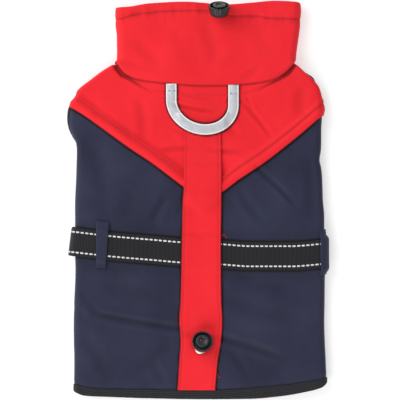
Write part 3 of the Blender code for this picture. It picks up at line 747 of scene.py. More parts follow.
def mesh_object(name: str, points: Array, faces: Array, material: Material) -> Thing:
    """A smooth object of the scene.

    Args:
        name: the object's name.
        points: its points, one a row.
        faces: indices of each face's corners, equally many for every face.
        material: its finish.

    Returns:
        The object.
    """
    mesh = bpy.data.meshes.new(name)
    mesh.vertices.add(len(points))
    mesh.vertices.foreach_set("co", np.ascontiguousarray(points, np.float32).ravel())
    corners = faces.shape[1]
    mesh.loops.add(faces.size)
    mesh.loops.foreach_set("vertex_index", faces.astype(np.int32).ravel())
    mesh.polygons.add(len(faces))
    mesh.polygons.foreach_set("loop_start", np.arange(0, faces.size, corners, dtype=np.int32))
    mesh.update(calc_edges=True)
    mesh.polygons.foreach_set("use_smooth", np.ones(len(faces), bool))
    mesh.materials.append(material)
    thing = bpy.data.objects.new(name, mesh)
    bpy.context.scene.collection.objects.link(thing)
    return thing


def face_corners(grid: Array) -> Array:
    """A grid's values at the corners of each of its faces, in the order of grid_faces."""
    corners = np.stack([grid[:-1, :-1], grid[:-1, 1:], grid[1:, 1:], grid[1:, :-1]], axis=-2)
    return corners.reshape(-1, 4, grid.shape[-1])


def add_uv(thing: Thing, corners: Array) -> None:
    """Lay the cloth's own map, in metres, over a mesh."""
    layer = thing.data.uv_layers.new(name="cloth")
    layer.data.foreach_set("uv", np.ascontiguousarray(corners, np.float32).ravel())


def add_shade(thing: Thing, shade: Array) -> None:
    """Store the painted shade of the cloth's folds and lines at each point, below 0 for painted highlight."""
    layer = thing.data.attributes.new("shade", "FLOAT", "POINT")
    layer.data.foreach_set("value", np.clip(shade, SHADE_LOW, SHADE_HIGH).astype(np.float32))


def grid_faces(index: Array, ring: bool) -> Array:
    """Faces between the places of a grid, counter-clockwise as seen from outside.

    Args:
        index: the point at each place.
        ring: whether the last column meets the first.

    Returns:
        Four points for each face.
    """
    after = np.roll(index, -1, axis=1) if ring else index[:, 1:]
    before = index if ring else index[:, :-1]
    faces = np.stack([before[:-1], after[:-1], after[1:], before[1:]], axis=-1)
    return faces.reshape(-1, 4)


def face_outwards(thing: Thing, join: float = 0.0) -> None:
    """Turn a closed mesh's faces outwards.

    Args:
        thing: the mesh's object.
        join: points closer than this are made one.
    """
    builder = bmesh.new()
    builder.from_mesh(thing.data)
    if join > 0:
        bmesh.ops.remove_doubles(builder, verts=builder.verts, dist=join)
    bmesh.ops.recalc_face_normals(builder, faces=builder.faces)
    builder.to_mesh(thing.data)
    builder.free()


@dataclass
class ClothPiece:
    """One piece of cloth as a wall with rounded edges on the tube.

    Attributes:
        name: the piece's name, which is also its node's.
        patch: where it lies.
        height: how far its outer face stands over the plain tube at (w, y).
        thickness: of the wall.
        shade: the painted shade in its folds and the painted shadow lines beside what lies on it at (w, y),
            below 0 for painted highlight, 0 where plain.
        slack: how far it stands off sideways, added to its X.
        thing: its object, once it is built.
    """

    name: str
    patch: Patch
    height: Callable[[Array, Array], Array]
    thickness: float
    shade: Callable[[Array, Array], Array] | None = None
    slack: Callable[[Array, Array, Array], Array] | None = None
    thing: Thing | None = None

    def outer(self, w: Array, y: Array, extra: Array | float = 0.0) -> Array:
        """Points of the outer face.

        Args:
            w: places round the tube.
            y: places along it, in metres.
            extra: how far the points are moved out, in metres.

        Returns:
            Points with X, Y and Z on the last axis.
        """
        normal = tube.normal(w, y)
        height = np.asarray(self.height(w, y) + extra)
        points = tube.point(w, y) + normal * height[..., None]
        if self.slack is not None:
            points[..., 0] += self.slack(w, y, points[..., 0])
        return points

    def build(self, material: Material) -> None:
        """Make the wall's mesh.

        Args:
            material: the cloth's finish.
        """
        patch, half = self.patch, self.thickness / 2
        rise = np.sqrt(1 - (1 - np.clip(patch.edge / half, 0, 1)) ** 2)
        over = self.outer(patch.w, patch.y, patch.bulge - half * (1 - rise))
        under = self.outer(patch.w, patch.y, np.minimum(patch.bulge, 0) - half * (1 + rise))
        count = patch.w.size
        over_index = np.arange(count).reshape(patch.w.shape)
        open_edge = patch.edge <= 0
        under_index = np.where(open_edge, over_index, over_index + count)
        kept = patch.kept_faces().ravel()
        faces = np.concatenate([
            grid_faces(over_index, patch.ring)[kept], grid_faces(under_index, patch.ring)[kept][:, ::-1]
        ])
        points = np.concatenate([over.reshape(-1, 3), under.reshape(-1, 3)])
        points[:, 2] = np.maximum(points[:, 2], 0.0)
        shade = np.zeros(count) if self.shade is None else self.shade(patch.w, patch.y).ravel()
        used = np.zeros(2 * count, bool)
        used[faces] = True
        faces = (np.cumsum(used) - 1)[faces]
        self.thing = mesh_object(self.name + "_cloth", points[used], faces, material)
        self.lay_map(patch)
        add_shade(self.thing, np.concatenate([shade, shade * 0])[used])
        log.info("%s: %d faces", self.name, len(faces))

    def lay_map(self, patch: Patch) -> None:
        """Give the wall its own map: the way round across, and the way along the cloth upwards.

        Args:
            patch: where the wall lies.
        """
        round_way = np.interp(patch.w, ROUND_PLACES, ROUND_LENGTHS)
        total = ROUND_LENGTHS[-1] - ROUND_LENGTHS[0]
        upwards = patch.y if patch.along is None else patch.along
        if patch.ring:
            round_way = np.concatenate([round_way, round_way[:, :1] + total], axis=1)
            upwards = np.concatenate([upwards, upwards[:, :1]], axis=1)
        else:
            jumps = np.diff(round_way, axis=1) < -total / 2
            round_way[:, 1:] += np.cumsum(jumps, axis=1) * total
        corners = face_corners(np.stack([round_way, upwards], axis=-1))[patch.kept_faces().ravel()]
        add_uv(self.thing, np.concatenate([corners, corners[:, ::-1]]))


@dataclass(frozen=True)
class Beads:
    """Many small rounded bars on the cloth, such as stitches or woven dashes, with sizes in metres."""

    length: float
    half_width: float
    half_height: float
    sides: int = 6

    def build(self, name: str, centres: Array, along: Array, up: Array, material: Material) -> Thing:
        """Make one mesh of a bar at each centre.

        Args:
            name: the object's name.
            centres: the bars' middles.
            along: each bar's direction.
            up: the way out of the cloth at each bar.
            material: the bars' finish.

        Returns:
            The object.
        """
        along = along / np.linalg.norm(along, axis=-1, keepdims=True)
        aside = np.cross(up, along)
        aside = aside / np.linalg.norm(aside, axis=-1, keepdims=True)
        up = np.cross(along, aside)
        turns = np.arange(self.sides) / self.sides * math.tau
        stations = ((-0.5, 0.35), (-0.40, 0.85), (0.0, 1.0), (0.40, 0.85), (0.5, 0.35))
        shape = np.array([
            (place * self.length, size * self.half_width * math.cos(turn),
             size * self.half_height * math.sin(turn))
            for place, size in stations
            for turn in turns
        ])
        frames = np.stack([along, aside, up], axis=1)
        centres[:, 2] = np.maximum(centres[:, 2], self.half_height - PROUD_BELOW)
        points = centres[:, None, :] + np.einsum("pk,nkc->npc", shape, frames)
        sides = grid_faces(np.arange(len(shape)).reshape(-1, self.sides), ring=True)
        last = (len(stations) - 1) * self.sides
        caps = [(4 % self.sides, 3, 2, 1), (1, 0, 5 % self.sides, 4 % self.sides)]
        caps += [(last + 1, last + 2, last + 3, last + 4), (last + 4, last + 5 % self.sides, last, last + 1)]
        template = np.concatenate([sides, np.array(caps)])
        step = np.arange(len(centres))[:, None, None] * len(shape)
        faces = (template[None] + step).reshape(-1, 4)
        return mesh_object(name, points.reshape(-1, 3), faces, material)


STITCH = Beads(length=2.3 * MM, half_width=0.3 * MM, half_height=0.26 * MM)
STITCH_PITCH = 3.0 * MM
STITCH_PROUD = 0.03 * MM


def spaced_along(points: Array, pitch: float) -> Array:
    """Evenly spaced places along a line.

    Args:
        points: the line's points.
        pitch: about how far the places are apart, in metres.

    Returns:
        The places, as fractions of the points' index.
    """
    lengths = lengths_along(points)
    count = max(2, int(lengths[-1] / pitch))
    marks = (np.arange(count) + 0.5) / count * lengths[-1]
    return np.interp(marks, lengths, np.arange(len(points)))


def along_line(line: Array, places: Array) -> Array:
    """Points of a line at fractions of its index."""
    index = np.arange(len(line))
    return np.stack([np.interp(places, index, line[:, k]) for k in range(line.shape[1])], axis=-1)


def row_of_beads(
    beads: Beads, name: str, points: Array, ups: Array, pitch: float, reach: float, material: Material
) -> Thing:
    """Bars in a row along a line.

    Args:
        beads: the bars' shape.
        name: the row's name.
        points: the line's points.
        ups: the way out of the cloth at each point.
        pitch: about how far the bars are apart, in metres.
        reach: how many points ahead and behind give a bar its direction.
        material: the bars' finish.

    Returns:
        The object.
    """
    places = spaced_along(points, pitch)
    ahead = along_line(points, np.minimum(places + reach, len(points) - 1))
    behind = along_line(points, np.maximum(places - reach, 0))
    return beads.build(name, along_line(points, places), ahead - behind, along_line(ups, places), material)


def turned_mesh(
    name: str,
    profile: Sequence[tuple[float, float]],
    segments: int,
    material: Material,
    shape: Callable[[Array, Array, Array], tuple[Array, Array]] | None = None,
) -> Thing:
    """A turned body from a half section of (radius, height) rows in millimetres.

    Args:
        name: the object's name.
        profile: the half section, from inside round to inside again.
        segments: steps round the axis.
        material: the body's finish.
        shape: changes radius and height, given radius, angle and height.

    Returns:
        The object.
    """
    rows = np.array(profile, float) * MM
    angles = np.arange(segments) / segments * math.tau
    radius = np.repeat(rows[:, :1], segments, axis=1)
    height = np.repeat(rows[:, 1:], segments, axis=1)
    turn = np.repeat(angles[None], len(rows), axis=0)
    if shape is not None:
        radius, height = shape(radius, turn, height)
    points = np.stack([radius * np.cos(turn), radius * np.sin(turn), height], axis=-1)
    closed = rows[0, 0] > 0
    index = np.arange(points.shape[0] * segments).reshape(points.shape[:2])
    if closed:
        index = np.concatenate([index, index[:1]])
    faces = grid_faces(index, ring=True)
    thing = mesh_object(name, points.reshape(-1, 3), faces, material)
    face_outwards(thing, join=0.002 * MM)
    return thing


# ---------------- shared shader effects

Colour = tuple[float, float, float]
NOISE_LOW, NOISE_HIGH = 0.3, 0.7
# The least share of a colour that the painted shade keeps in the darkest folds and lines.
DARKEST_FOLD = 0.06


class EffectGroup:
    """A shader node group that gives a value which varies over the surface."""

    def __init__(
        self, name: str, inputs: Sequence[tuple[str, str]], outputs: Sequence[tuple[str, str]]
    ) -> None:
        """Make the group.

        Args:
            name: the group's name.
            inputs: (name, type) of each socket that takes a value.
            outputs: (name, type) of each socket that gives one.
        """
        self.tree = bpy.data.node_groups.new(name, "ShaderNodeTree")
        for way, sockets in (("INPUT", inputs), ("OUTPUT", outputs)):
            for socket, kind in sockets:
                self.tree.interface.new_socket(name=socket, in_out=way, socket_type="NodeSocket" + kind)
        self.source = self.tree.nodes.new("NodeGroupInput")
        self.target = self.tree.nodes.new("NodeGroupOutput")

    def link(self, start: Socket, end: Socket) -> None:
        """Join two sockets."""
        self.tree.links.new(start, end)

    def put_out(self, name: str, value: Socket) -> None:
        """Give a value to one of the group's outputs."""
        self.link(value, self.target.inputs[name])

    def math(self, operation: str, *values: Socket | float) -> Socket:
        """A sum on sockets or numbers.

        Args:
            operation: the sum.
            values: what it takes, in order.

        Returns:
            Its result.
        """
        node = self.tree.nodes.new("ShaderNodeMath")
        node.operation = operation
        for socket, value in zip(node.inputs, values):
            if isinstance(value, (int, float)):
                socket.default_value = value
            else:
                self.link(value, socket)
        return node.outputs[0]

    def wave(self, place: Socket, turns: Socket) -> Socket:
        """A wave from -1 to 1 along places, with so many turns a metre."""
        return self.math("SINE", self.math("MULTIPLY", place, turns))


def make_weave() -> Tree:
    """Plain weave: threads over and under each other in both directions.

    Returns:
        The group, whose Height goes from 0 to 1.
    """
    group = EffectGroup("Weave", (("Vector", "Vector"), ("Pitch", "Float")), (("Height", "Float"),))
    turns = group.math("DIVIDE", math.tau, group.source.outputs["Pitch"])
    axes = group.tree.nodes.new("ShaderNodeSeparateXYZ")
    group.link(group.source.outputs["Vector"], axes.inputs[0])
    warp, weft = group.wave(axes.outputs["X"], turns), group.wave(axes.outputs["Y"], turns)
    group.put_out("Height", group.math("MULTIPLY_ADD", group.math("MULTIPLY", warp, weft), 0.5, 0.5))
    return group.tree


def make_ribs() -> Tree:
    """Parallel ribs along one direction of the cloth's own map.

    Returns:
        The group, whose Height goes from 0 to 1.
    """
    group = EffectGroup("Ribs", (("Place", "Float"), ("Pitch", "Float")), (("Height", "Float"),))
    turns = group.math("DIVIDE", math.tau, group.source.outputs["Pitch"])
    wave = group.wave(group.source.outputs["Place"], turns)
    group.put_out("Height", group.math("MULTIPLY_ADD", wave, 0.5, 0.5))
    return group.tree


def make_mottle() -> Tree:
    """Uneven tone of dyed cloth: broad clouds and a fine grain.

    Returns:
        The group, with one output for each.
    """
    outputs = (("Broad", "Float"), ("Fine", "Float"))
    group = EffectGroup("Mottle", (("Vector", "Vector"), ("Size", "Float")), outputs)
    for output, finer in (("Broad", 1.0), ("Fine", 18.0)):
        noise = group.tree.nodes.new("ShaderNodeTexNoise")
        noise.inputs["Detail"].default_value = 4.0
        group.link(group.source.outputs["Vector"], noise.inputs["Vector"])
        group.link(group.math("DIVIDE", finer, group.source.outputs["Size"]), noise.inputs["Scale"])
        group.put_out(output, noise.outputs[0])
    return group.tree


def make_fold_shade() -> Tree:
    """Painted shade: the colour darkened in the cloth's folds and its shadow lines, and lightened as painted
    highlight on the folds' shoulders.

    Returns:
        The group, whose Colour is the one it takes, scaled by the painted shade stored on the mesh.
    """
    group = EffectGroup("Fold shade", (("Colour", "Color"), ("Depth", "Float")), (("Colour", "Color"),))
    attribute = group.tree.nodes.new("ShaderNodeAttribute")
    attribute.attribute_name = "shade"
    darker = group.math("MULTIPLY", attribute.outputs["Fac"], group.source.outputs["Depth"])
    kept = group.math("MAXIMUM", group.math("SUBTRACT", 1.0, darker), DARKEST_FOLD)
    scale = group.tree.nodes.new("ShaderNodeVectorMath")
    scale.operation = "SCALE"
    group.link(group.source.outputs["Colour"], scale.inputs[0])
    group.link(kept, scale.inputs["Scale"])
    group.put_out("Colour", scale.outputs[0])
    return group.tree


@dataclass(frozen=True)
class Effects:
    """The node groups that the finishes share."""

    weave: Tree
    ribs: Tree
    mottle: Tree
    fold_shade: Tree

    @staticmethod
    def make() -> "Effects":
        """Make the groups once."""
        return Effects(make_weave(), make_ribs(), make_mottle(), make_fold_shade())


class Direction(Enum):
    """The way in which ribs follow one another on the cloth's own map."""

    ROUND = "X"
    UPWARDS = "Y"


class Shader:
    """A material's own nodes round its Principled shader."""

    def __init__(self, name: str) -> None:
        """Make the material.

        Args:
            name: the material's name.
        """
        self.material = bpy.data.materials.new(name)
        self.material.use_nodes = True
        self.tree = self.material.node_tree
        self.surface = self.tree.nodes["Principled BSDF"]

    def node(self, kind: str) -> bpy.types.Node:
        """A new node of a kind."""
        return self.tree.nodes.new("ShaderNode" + kind)

    def link(self, start: Socket, end: Socket) -> None:
        """Join two sockets."""
        self.tree.links.new(start, end)

    def group(self, tree: Tree, **values: float) -> bpy.types.Node:
        """Place a shared effect.

        Args:
            tree: the effect.
            values: its own numbers in this material, by socket.

        Returns:
            The group's node.
        """
        node = self.node("Group")
        node.node_tree = tree
        for name, value in values.items():
            node.inputs[name].default_value = value
        return node

    def constants(self, **values: float | tuple[float, ...]) -> None:
        """Set the shader's own sockets, with their names' spaces written as underlines."""
        for name, value in values.items():
            self.surface.inputs[name.replace("_", " ")].default_value = value

    def cloth_map(self) -> Socket:
        """The cloth's own map, in metres."""
        node = self.node("UVMap")
        node.uv_map = "cloth"
        return node.outputs[0]

    def mottle(self, effects: Effects, size: float) -> bpy.types.Node:
        """The uneven tone over places on the object, with clouds of this size in metres."""
        mottle = self.group(effects.mottle, Size=size)
        self.link(self.node("TexCoord").outputs["Object"], mottle.inputs["Vector"])
        return mottle

    def between(self, share: Socket, low: Colour, high: Colour) -> Socket:
        """A colour between two others.

        Args:
            share: noise or a wave that mixes them.
            low: the colour where it is low.
            high: the colour where it is high.

        Returns:
            The mixed colour.
        """
        node = self.node("MapRange")
        node.data_type = "FLOAT_VECTOR"
        spread = self.node("CombineXYZ")
        for socket in spread.inputs:
            self.link(share, socket)
        self.link(spread.outputs[0], node.inputs["Vector"])
        # Inputs 7 to 10 are the vector's own From Min, From Max, To Min and To Max.
        for index, colour in enumerate(((NOISE_LOW,) * 3, (NOISE_HIGH,) * 3, low, high), start=7):
            node.inputs[index].default_value = colour
        return node.outputs["Vector"]

    def uneven_roughness(self, share: Socket, middle: float, spread: float) -> None:
        """Let the roughness vary.

        Args:
            share: noise that varies it.
            middle: its middle value.
            spread: how far it goes to either side.
        """
        node = self.node("MapRange")
        low, high = middle - spread, middle + spread
        limits = {"From Min": NOISE_LOW, "From Max": NOISE_HIGH, "To Min": low, "To Max": high}
        for name, value in limits.items():
            node.inputs[name].default_value = value
        self.link(share, node.inputs["Value"])
        self.link(node.outputs["Result"], self.surface.inputs["Roughness"])

    def paint_fold_shade(self, effects: Effects, colour: Socket, depth: float) -> None:
        """Paint shade into a colour: darker in the cloth's folds and shadow lines, by this depth where the
        painted shade is 1.
        """
        group = self.group(effects.fold_shade, Depth=depth)
        self.link(colour, group.inputs["Colour"])
        self.link(group.outputs["Colour"], self.surface.inputs["Base Color"])

    def raise_surface(self, height: Socket, depth: float) -> None:
        """Add a bump on top of those there are.

        Args:
            height: from 0 to 1.
            depth: the bump's depth, in metres.
        """
        bump = self.node("Bump")
        bump.inputs["Strength"].default_value = 1.0
        bump.inputs["Distance"].default_value = depth
        self.link(height, bump.inputs["Height"])
        earlier = self.surface.inputs["Normal"].links
        if earlier:
            self.link(earlier[0].from_socket, bump.inputs["Normal"])
        self.link(bump.outputs["Normal"], self.surface.inputs["Normal"])


@dataclass(frozen=True)
class WovenFinish:
    """Smooth woven shell cloth."""

    slot: str
    colour: Colour
    deep: Colour
    roughness: float
    sheen: float
    pitch: float = 0.55 * MM
    weave_depth: float = 0.03 * MM
    rumple: float = 0.60 * MM
    # painted_shade_depth: how far the painted shade darkens the cloth's colour where the shade is 1.
    painted_shade_depth: float = 0.34

    def make(self, effects: Effects) -> Material:
        """Make the cloth's material.

        Args:
            effects: the shared effects.

        Returns:
            The material.
        """
        shader = Shader(self.slot)
        mottle = shader.mottle(effects, 0.045)
        colour = shader.between(mottle.outputs["Broad"], self.deep, self.colour)
        shader.paint_fold_shade(effects, colour, self.painted_shade_depth)
        shader.uneven_roughness(mottle.outputs["Fine"], self.roughness, 0.06)
        crumple = shader.mottle(effects, 0.020)
        shader.raise_surface(crumple.outputs["Broad"], self.rumple)
        weave = shader.group(effects.weave, Pitch=self.pitch)
        shader.link(shader.cloth_map(), weave.inputs["Vector"])
        shader.raise_surface(weave.outputs["Height"], self.weave_depth)
        shader.constants(Specular_IOR_Level=0.22, Sheen_Weight=self.sheen, Sheen_Roughness=0.45)
        return shader.material


@dataclass(frozen=True)
class RibbedFinish:
    """Webbing or binding with woven ribs."""

    slot: str
    colour: Colour
    deep: Colour
    roughness: float
    pitch: float
    rib_depth: float
    ribs: Direction
    sheen: float = 0.12
    # painted_shade_depth: how far the painted shade darkens the webbing's colour where the shade is 1.
    painted_shade_depth: float = 0.7
    fuzz: float = 0.10 * MM

    def make(self, effects: Effects) -> Material:
        """Make the webbing's material.

        Args:
            effects: the shared effects.

        Returns:
            The material.
        """
        shader = Shader(self.slot)
        axes = shader.node("SeparateXYZ")
        shader.link(shader.cloth_map(), axes.inputs[0])
        rib = shader.group(effects.ribs, Pitch=self.pitch)
        shader.link(axes.outputs[self.ribs.value], rib.inputs["Place"])
        colour = shader.between(rib.outputs["Height"], self.deep, self.colour)
        shader.paint_fold_shade(effects, colour, self.painted_shade_depth)
        mottle = shader.mottle(effects, 0.03)
        shader.uneven_roughness(mottle.outputs["Fine"], self.roughness, 0.08)
        shader.raise_surface(mottle.outputs["Fine"], self.fuzz)
        shader.raise_surface(rib.outputs["Height"], self.rib_depth)
        shader.constants(Specular_IOR_Level=0.18, Sheen_Weight=self.sheen, Sheen_Roughness=0.5)
        return shader.material


@dataclass(frozen=True)
class SmoothFinish:
    """Thread, moulded plastic or plated metal."""

    slot: str
    name: str
    colour: Colour
    deep: Colour
    roughness: float
    metallic: float = 0.0
    grain: float = 0.02 * MM
    grain_size: float = 0.012
    specular: float = 0.4

    def make(self, effects: Effects) -> Material:
        """Make the material.

        Args:
            effects: the shared effects.

        Returns:
            The material.
        """
        shader = Shader(self.name)
        mottle = shader.mottle(effects, self.grain_size)
        colour = shader.between(mottle.outputs["Broad"], self.deep, self.colour)
        shader.link(colour, shader.surface.inputs["Base Color"])
        shader.uneven_roughness(mottle.outputs["Fine"], self.roughness, 0.08)
        shader.raise_surface(mottle.outputs["Fine"], self.grain)
        shader.constants(Metallic=self.metallic, Specular_IOR_Level=self.specular)
        return shader.material


Finish = WovenFinish | RibbedFinish | SmoothFinish

RED = WovenFinish("shell_red", (0.875, 0.0158, 0.0268), (0.80, 0.0118, 0.0208), 0.68, 0.08, painted_shade_depth=0.22)
NAVY = WovenFinish(
    "shell_navy", (0.0245, 0.0265, 0.0595), (0.0148, 0.0158, 0.0400), 0.62, 0.16, painted_shade_depth=0.32
)
BINDING = RibbedFinish(
    "binding_black", (0.030, 0.031, 0.036), (0.012, 0.012, 0.015), 0.78, 1.7 * MM, 0.35 * MM,
    Direction.UPWARDS,
)
EDGING = RibbedFinish(
    "binding_black", (0.018, 0.018, 0.022), (0.010, 0.010, 0.012), 0.78, 0.9 * MM, 0.12 * MM, Direction.ROUND
)
WEBBING = RibbedFinish(
    "webbing_black", (0.026, 0.025, 0.030), (0.007, 0.007, 0.009), 0.72, 1.2 * MM, 0.30 * MM, Direction.ROUND
)
TAPE = SmoothFinish(
    "tape_reflective", "tape_reflective", (0.60, 0.62, 0.65), (0.52, 0.54, 0.57), 0.42, 0.25, 0.05 * MM, 0.006
)
TAPE_EDGE = SmoothFinish(
    "tape_reflective", "tape_edge_cloth", (0.86, 0.86, 0.87), (0.80, 0.80, 0.82), 0.65, 0.0, 0.05 * MM
)
RED_THREAD = SmoothFinish("shell_red", "thread_red", (0.70, 0.016, 0.024), (0.60, 0.012, 0.02), 0.7)
NAVY_THREAD = SmoothFinish("shell_navy", "thread_navy", (0.040, 0.042, 0.075), (0.03, 0.032, 0.06), 0.7)
GREY_THREAD = SmoothFinish("tape_reflective", "thread_grey", (0.30, 0.31, 0.33), (0.24, 0.25, 0.27), 0.7)
WHITE_YARN = SmoothFinish("webbing_black", "yarn_white", (0.80, 0.80, 0.79), (0.62, 0.62, 0.62), 0.75)
PLASTIC = SmoothFinish(
    "lock_plastic", "lock_plastic", (0.024, 0.024, 0.027), (0.016, 0.016, 0.018), 0.42, 0.0, 0.03 * MM, 0.004
)
BUTTON = SmoothFinish(
    "lock_plastic", "button_plastic", (0.024, 0.024, 0.027), (0.018, 0.018, 0.021), 0.36,
    grain=0.03 * MM, grain_size=0.004,
)
NICKEL = SmoothFinish(
    "eyelet_metal", "eyelet_metal", (0.62, 0.59, 0.54), (0.52, 0.49, 0.44), 0.38, 1.0, 0.01 * MM, 0.004, 0.5
)


class Workshop:
    """Makes each finish's material once, lays the pieces of cloth and sews their stitches."""

    def __init__(self, effects: Effects) -> None:
        """Keep the shared effects."""
        self.effects = effects
        self.made: dict[Finish, Material] = {}

    def of(self, finish: Finish) -> Material:
        """The finish's material."""
        if finish not in self.made:
            self.made[finish] = finish.make(self.effects)
        return self.made[finish]

    def sew(
        self, name: str, piece: ClothPiece, w: Array, y: Array, thread: SmoothFinish, closed: bool = False
    ) -> None:
        """Sew a line of stitches on a piece.

        Args:
            name: the line's name.
            piece: the cloth that the stitches lie on.
            w: the line's places round the tube.
            y: its places along the tube.
            thread: the thread's finish.
            closed: whether the line returns to its start.
        """
        if closed:
            w, y = np.append(w, w[0]), np.append(y, y[0])
        points = piece.outer(w, y, STITCH_PROUD)
        line = row_of_beads(STITCH, name, points, tube.normal(w, y), STITCH_PITCH, 0.2, self.of(thread))
        settle(line)

    def lay(
        self, piece: ClothPiece, finish: Finish, flat: tuple[float, float], area: float | None = None
    ) -> None:
        """Make a piece and lay it in place of its node.

        Args:
            piece: the piece.
            finish: its finish.
            flat: the flat cloth's width and length, in metres; not used.
            area: the flat cloth's area, in square metres, where it isn't a rectangle; not used.
        """
        piece.build(self.of(finish))
        settle(piece.thing)
        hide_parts(piece.name)


def settle(thing: Thing, body: str = COAT) -> None:
    """Let a piece ride on a body."""
    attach(thing, body)


# ---------------- the coat's cloth


@dataclass(frozen=True)
class Armhole:
    """One armhole's opening on the tube, and the binding round it."""

    side: Side
    towards_back: float
    towards_belly: float
    shoulder_swing: float = 0.0
    tip_swing: float = 0.0

    def limits(self, y: Array) -> tuple[Array, Array]:
        """Where the opening's back and belly sides lie at y, as places w on the right side."""
        share = np.clip((y - ARMHOLE_BOTTOM) / (ARMHOLE_TOP - ARMHOLE_BOTTOM), 0.0, 1.0)
        width = np.sin(math.pi * share) ** ARMHOLE_POWER
        return seam_w(y) - self.towards_back * width, seam_w(y) + self.towards_belly * width

    def holds(self, w: Array, y: Array) -> Array:
        """Whether places lie inside the opening."""
        (back, belly), reach = self.limits(y), w * self.side.value
        return (y > ARMHOLE_BOTTOM) & (y < ARMHOLE_TOP) & (reach > back) & (reach < belly)

    def outline(self, count: int) -> tuple[Array, Array]:
        """Places round the opening, evenly spaced along it and soft at its corners.

        Args:
            count: how many places.

        Returns:
            The places w and y.
        """
        even = 0.5 - 0.5 * np.cos(math.pi * np.linspace(0, 1, 90))
        y_up = mix(ARMHOLE_BOTTOM, ARMHOLE_TOP, mix(ARMHOLE_INSET, 1 - ARMHOLE_INSET, even))
        back, belly = self.limits(y_up)
        w = self.side.value * np.concatenate([back, belly[::-1]])
        y = np.concatenate([y_up, y_up[::-1]])
        points = tube.point(w, y)
        lengths = lengths_along(np.concatenate([points, points[:1]]))
        marks = np.arange(count) / count * lengths[-1]
        w = np.interp(marks, lengths, np.append(w, w[0]))
        y = np.interp(marks, lengths, np.append(y, y[0]))
        for _ in range(3):
            w = (np.roll(w, 1) + 2 * w + np.roll(w, -1)) / 4
            y = (np.roll(y, 1) + 2 * y + np.roll(y, -1)) / 4
        return w, y

    def build_binding(self, material: Material) -> Thing:
        """Make the folded binding, round the opening's edge.

        Args:
            material: the binding's finish.

        Returns:
            Its object.
        """
        w, y = self.outline(120)
        points = tube.point(w, y)
        ups = tube.normal(w, y)
        along = np.roll(points, -1, axis=0) - np.roll(points, 1, axis=0)
        along /= np.linalg.norm(along, axis=-1, keepdims=True)
        inwards = np.cross(along, ups) * self.side.value
        relief = tube.relief(w, y)[:, None]
        sides = 16
        turns = np.arange(sides) / sides * math.tau
        half_width, reach = 2.3 * MM, 1.0 * MM
        across = np.sign(np.cos(turns)) * np.abs(np.cos(turns)) ** 0.75 * half_width + reach
        upwards = np.sign(np.sin(turns)) * np.abs(np.sin(turns)) ** 0.75
        middle = points + ups * (relief - CLOTH / 2)
        shoulder = ramp(y, 88 * MM, 98 * MM) * (1 - ramp(y, 107 * MM, 113 * MM))
        swing = self.shoulder_swing * shoulder + self.tip_swing * ramp(y, 109 * MM, 116 * MM)
        middle[:, 0] += self.side.value * swing
        half_height = mix(1.75 * MM, 1.12 * MM, ramp(y, 80 * MM, 92 * MM) * (1 - ramp(np.abs(w), 1.06, 1.2)))
        lifted = ups[:, None] * (half_height[:, None] * upwards)[..., None]
        rings = middle[:, None] + inwards[:, None] * across[None, :, None] + lifted
        rings[..., 2] = np.maximum(rings[..., 2], -PROUD_BELOW / 2)
        index = np.arange(rings.shape[0] * sides).reshape(rings.shape[:2])
        faces = grid_faces(np.concatenate([index, index[:1]]), ring=True)
        name = "armhole_binding_" + self.side.name.lower()
        thing = mesh_object(name + "_cloth", rings.reshape(-1, 3), faces, material)
        lengths = np.cumsum(np.linalg.norm(points - np.roll(points, 1, axis=0), axis=-1))
        lengths = np.append(lengths, lengths[-1] + lengths[0])
        around = np.arange(sides + 1) * 0.7 * MM
        add_uv(thing, face_corners(np.stack(np.broadcast_arrays(lengths[:, None], around), axis=-1)))
        face_outwards(thing)
        add_shade(thing, np.zeros(len(thing.data.vertices)))
        settle(thing)
        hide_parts(name)
        log.info("%s: %.4f m round", name, lengths[-1])
        return thing


def bump_at(distance: Array, half_width: float) -> Array:
    """1 on a line and 0 from half_width away, softly."""
    reach = np.minimum(np.abs(distance) / half_width, 1.0)
    return np.cos(reach * math.pi / 2) ** 2


def crossing(x: Array, y: Array, points: Sequence[tuple[float, float]], half_width: float) -> Array:
    """A soft line on the cloth that fades towards its end.

    Args:
        x: places across the coat, in metres.
        y: places along the coat, in metres.
        points: what the line goes through, in millimetres.
        half_width: of the line at its start, in metres.

    Returns:
        1 on the line at its start, and 0 away from it.
    """
    line = np.array(points) * MM
    steps = np.linalg.norm(np.diff(line, axis=0), axis=-1)
    total, passed, best = steps.sum(), 0.0, np.zeros(x.shape)
    for start, end, step in zip(line, line[1:], steps):
        along = (end - start) / step
        share = np.clip((x - start[0]) * along[0] + (y - start[1]) * along[1], 0, step)
        away = np.hypot(x - start[0] - share * along[0], y - start[1] - share * along[1])
        fade = 1 - ramp((passed + share) / total, 0.15, 1.0)
        best = np.maximum(best, fade * bump_at(away, half_width * (0.45 + 0.55 * fade)))
        passed += step
    return best


def beside(distance: Array, width: float) -> Array:
    """Mask of a painted shadow line: 1 up to this width outside the edge of what lies on the cloth, falling
    to 0 farther out.
    """
    return 1 - ramp(distance, 0.7 * width, 1.4 * width)


def beside_strip(x: Array, y: Array) -> Array:
    """The painted shadow lines beside the centre strip."""
    outside = np.maximum(strip_left(y) - x, x - strip_right(y))
    return np.where(y < 72 * MM, beside(outside, 1.2 * MM), 0.0)


# The reflective loop's middle line: two legs, and between them half an ellipse that slants a little.
TAPE_MIDDLE = 4.4 * MM
TAPE_FOOT = 91.5 * MM
TAPE_REACH = 29.1 * MM
TAPE_DROP = 25.4 * MM
TAPE_SLANT = 0.085
TAPE_HALF_WIDTH = 4.95 * MM


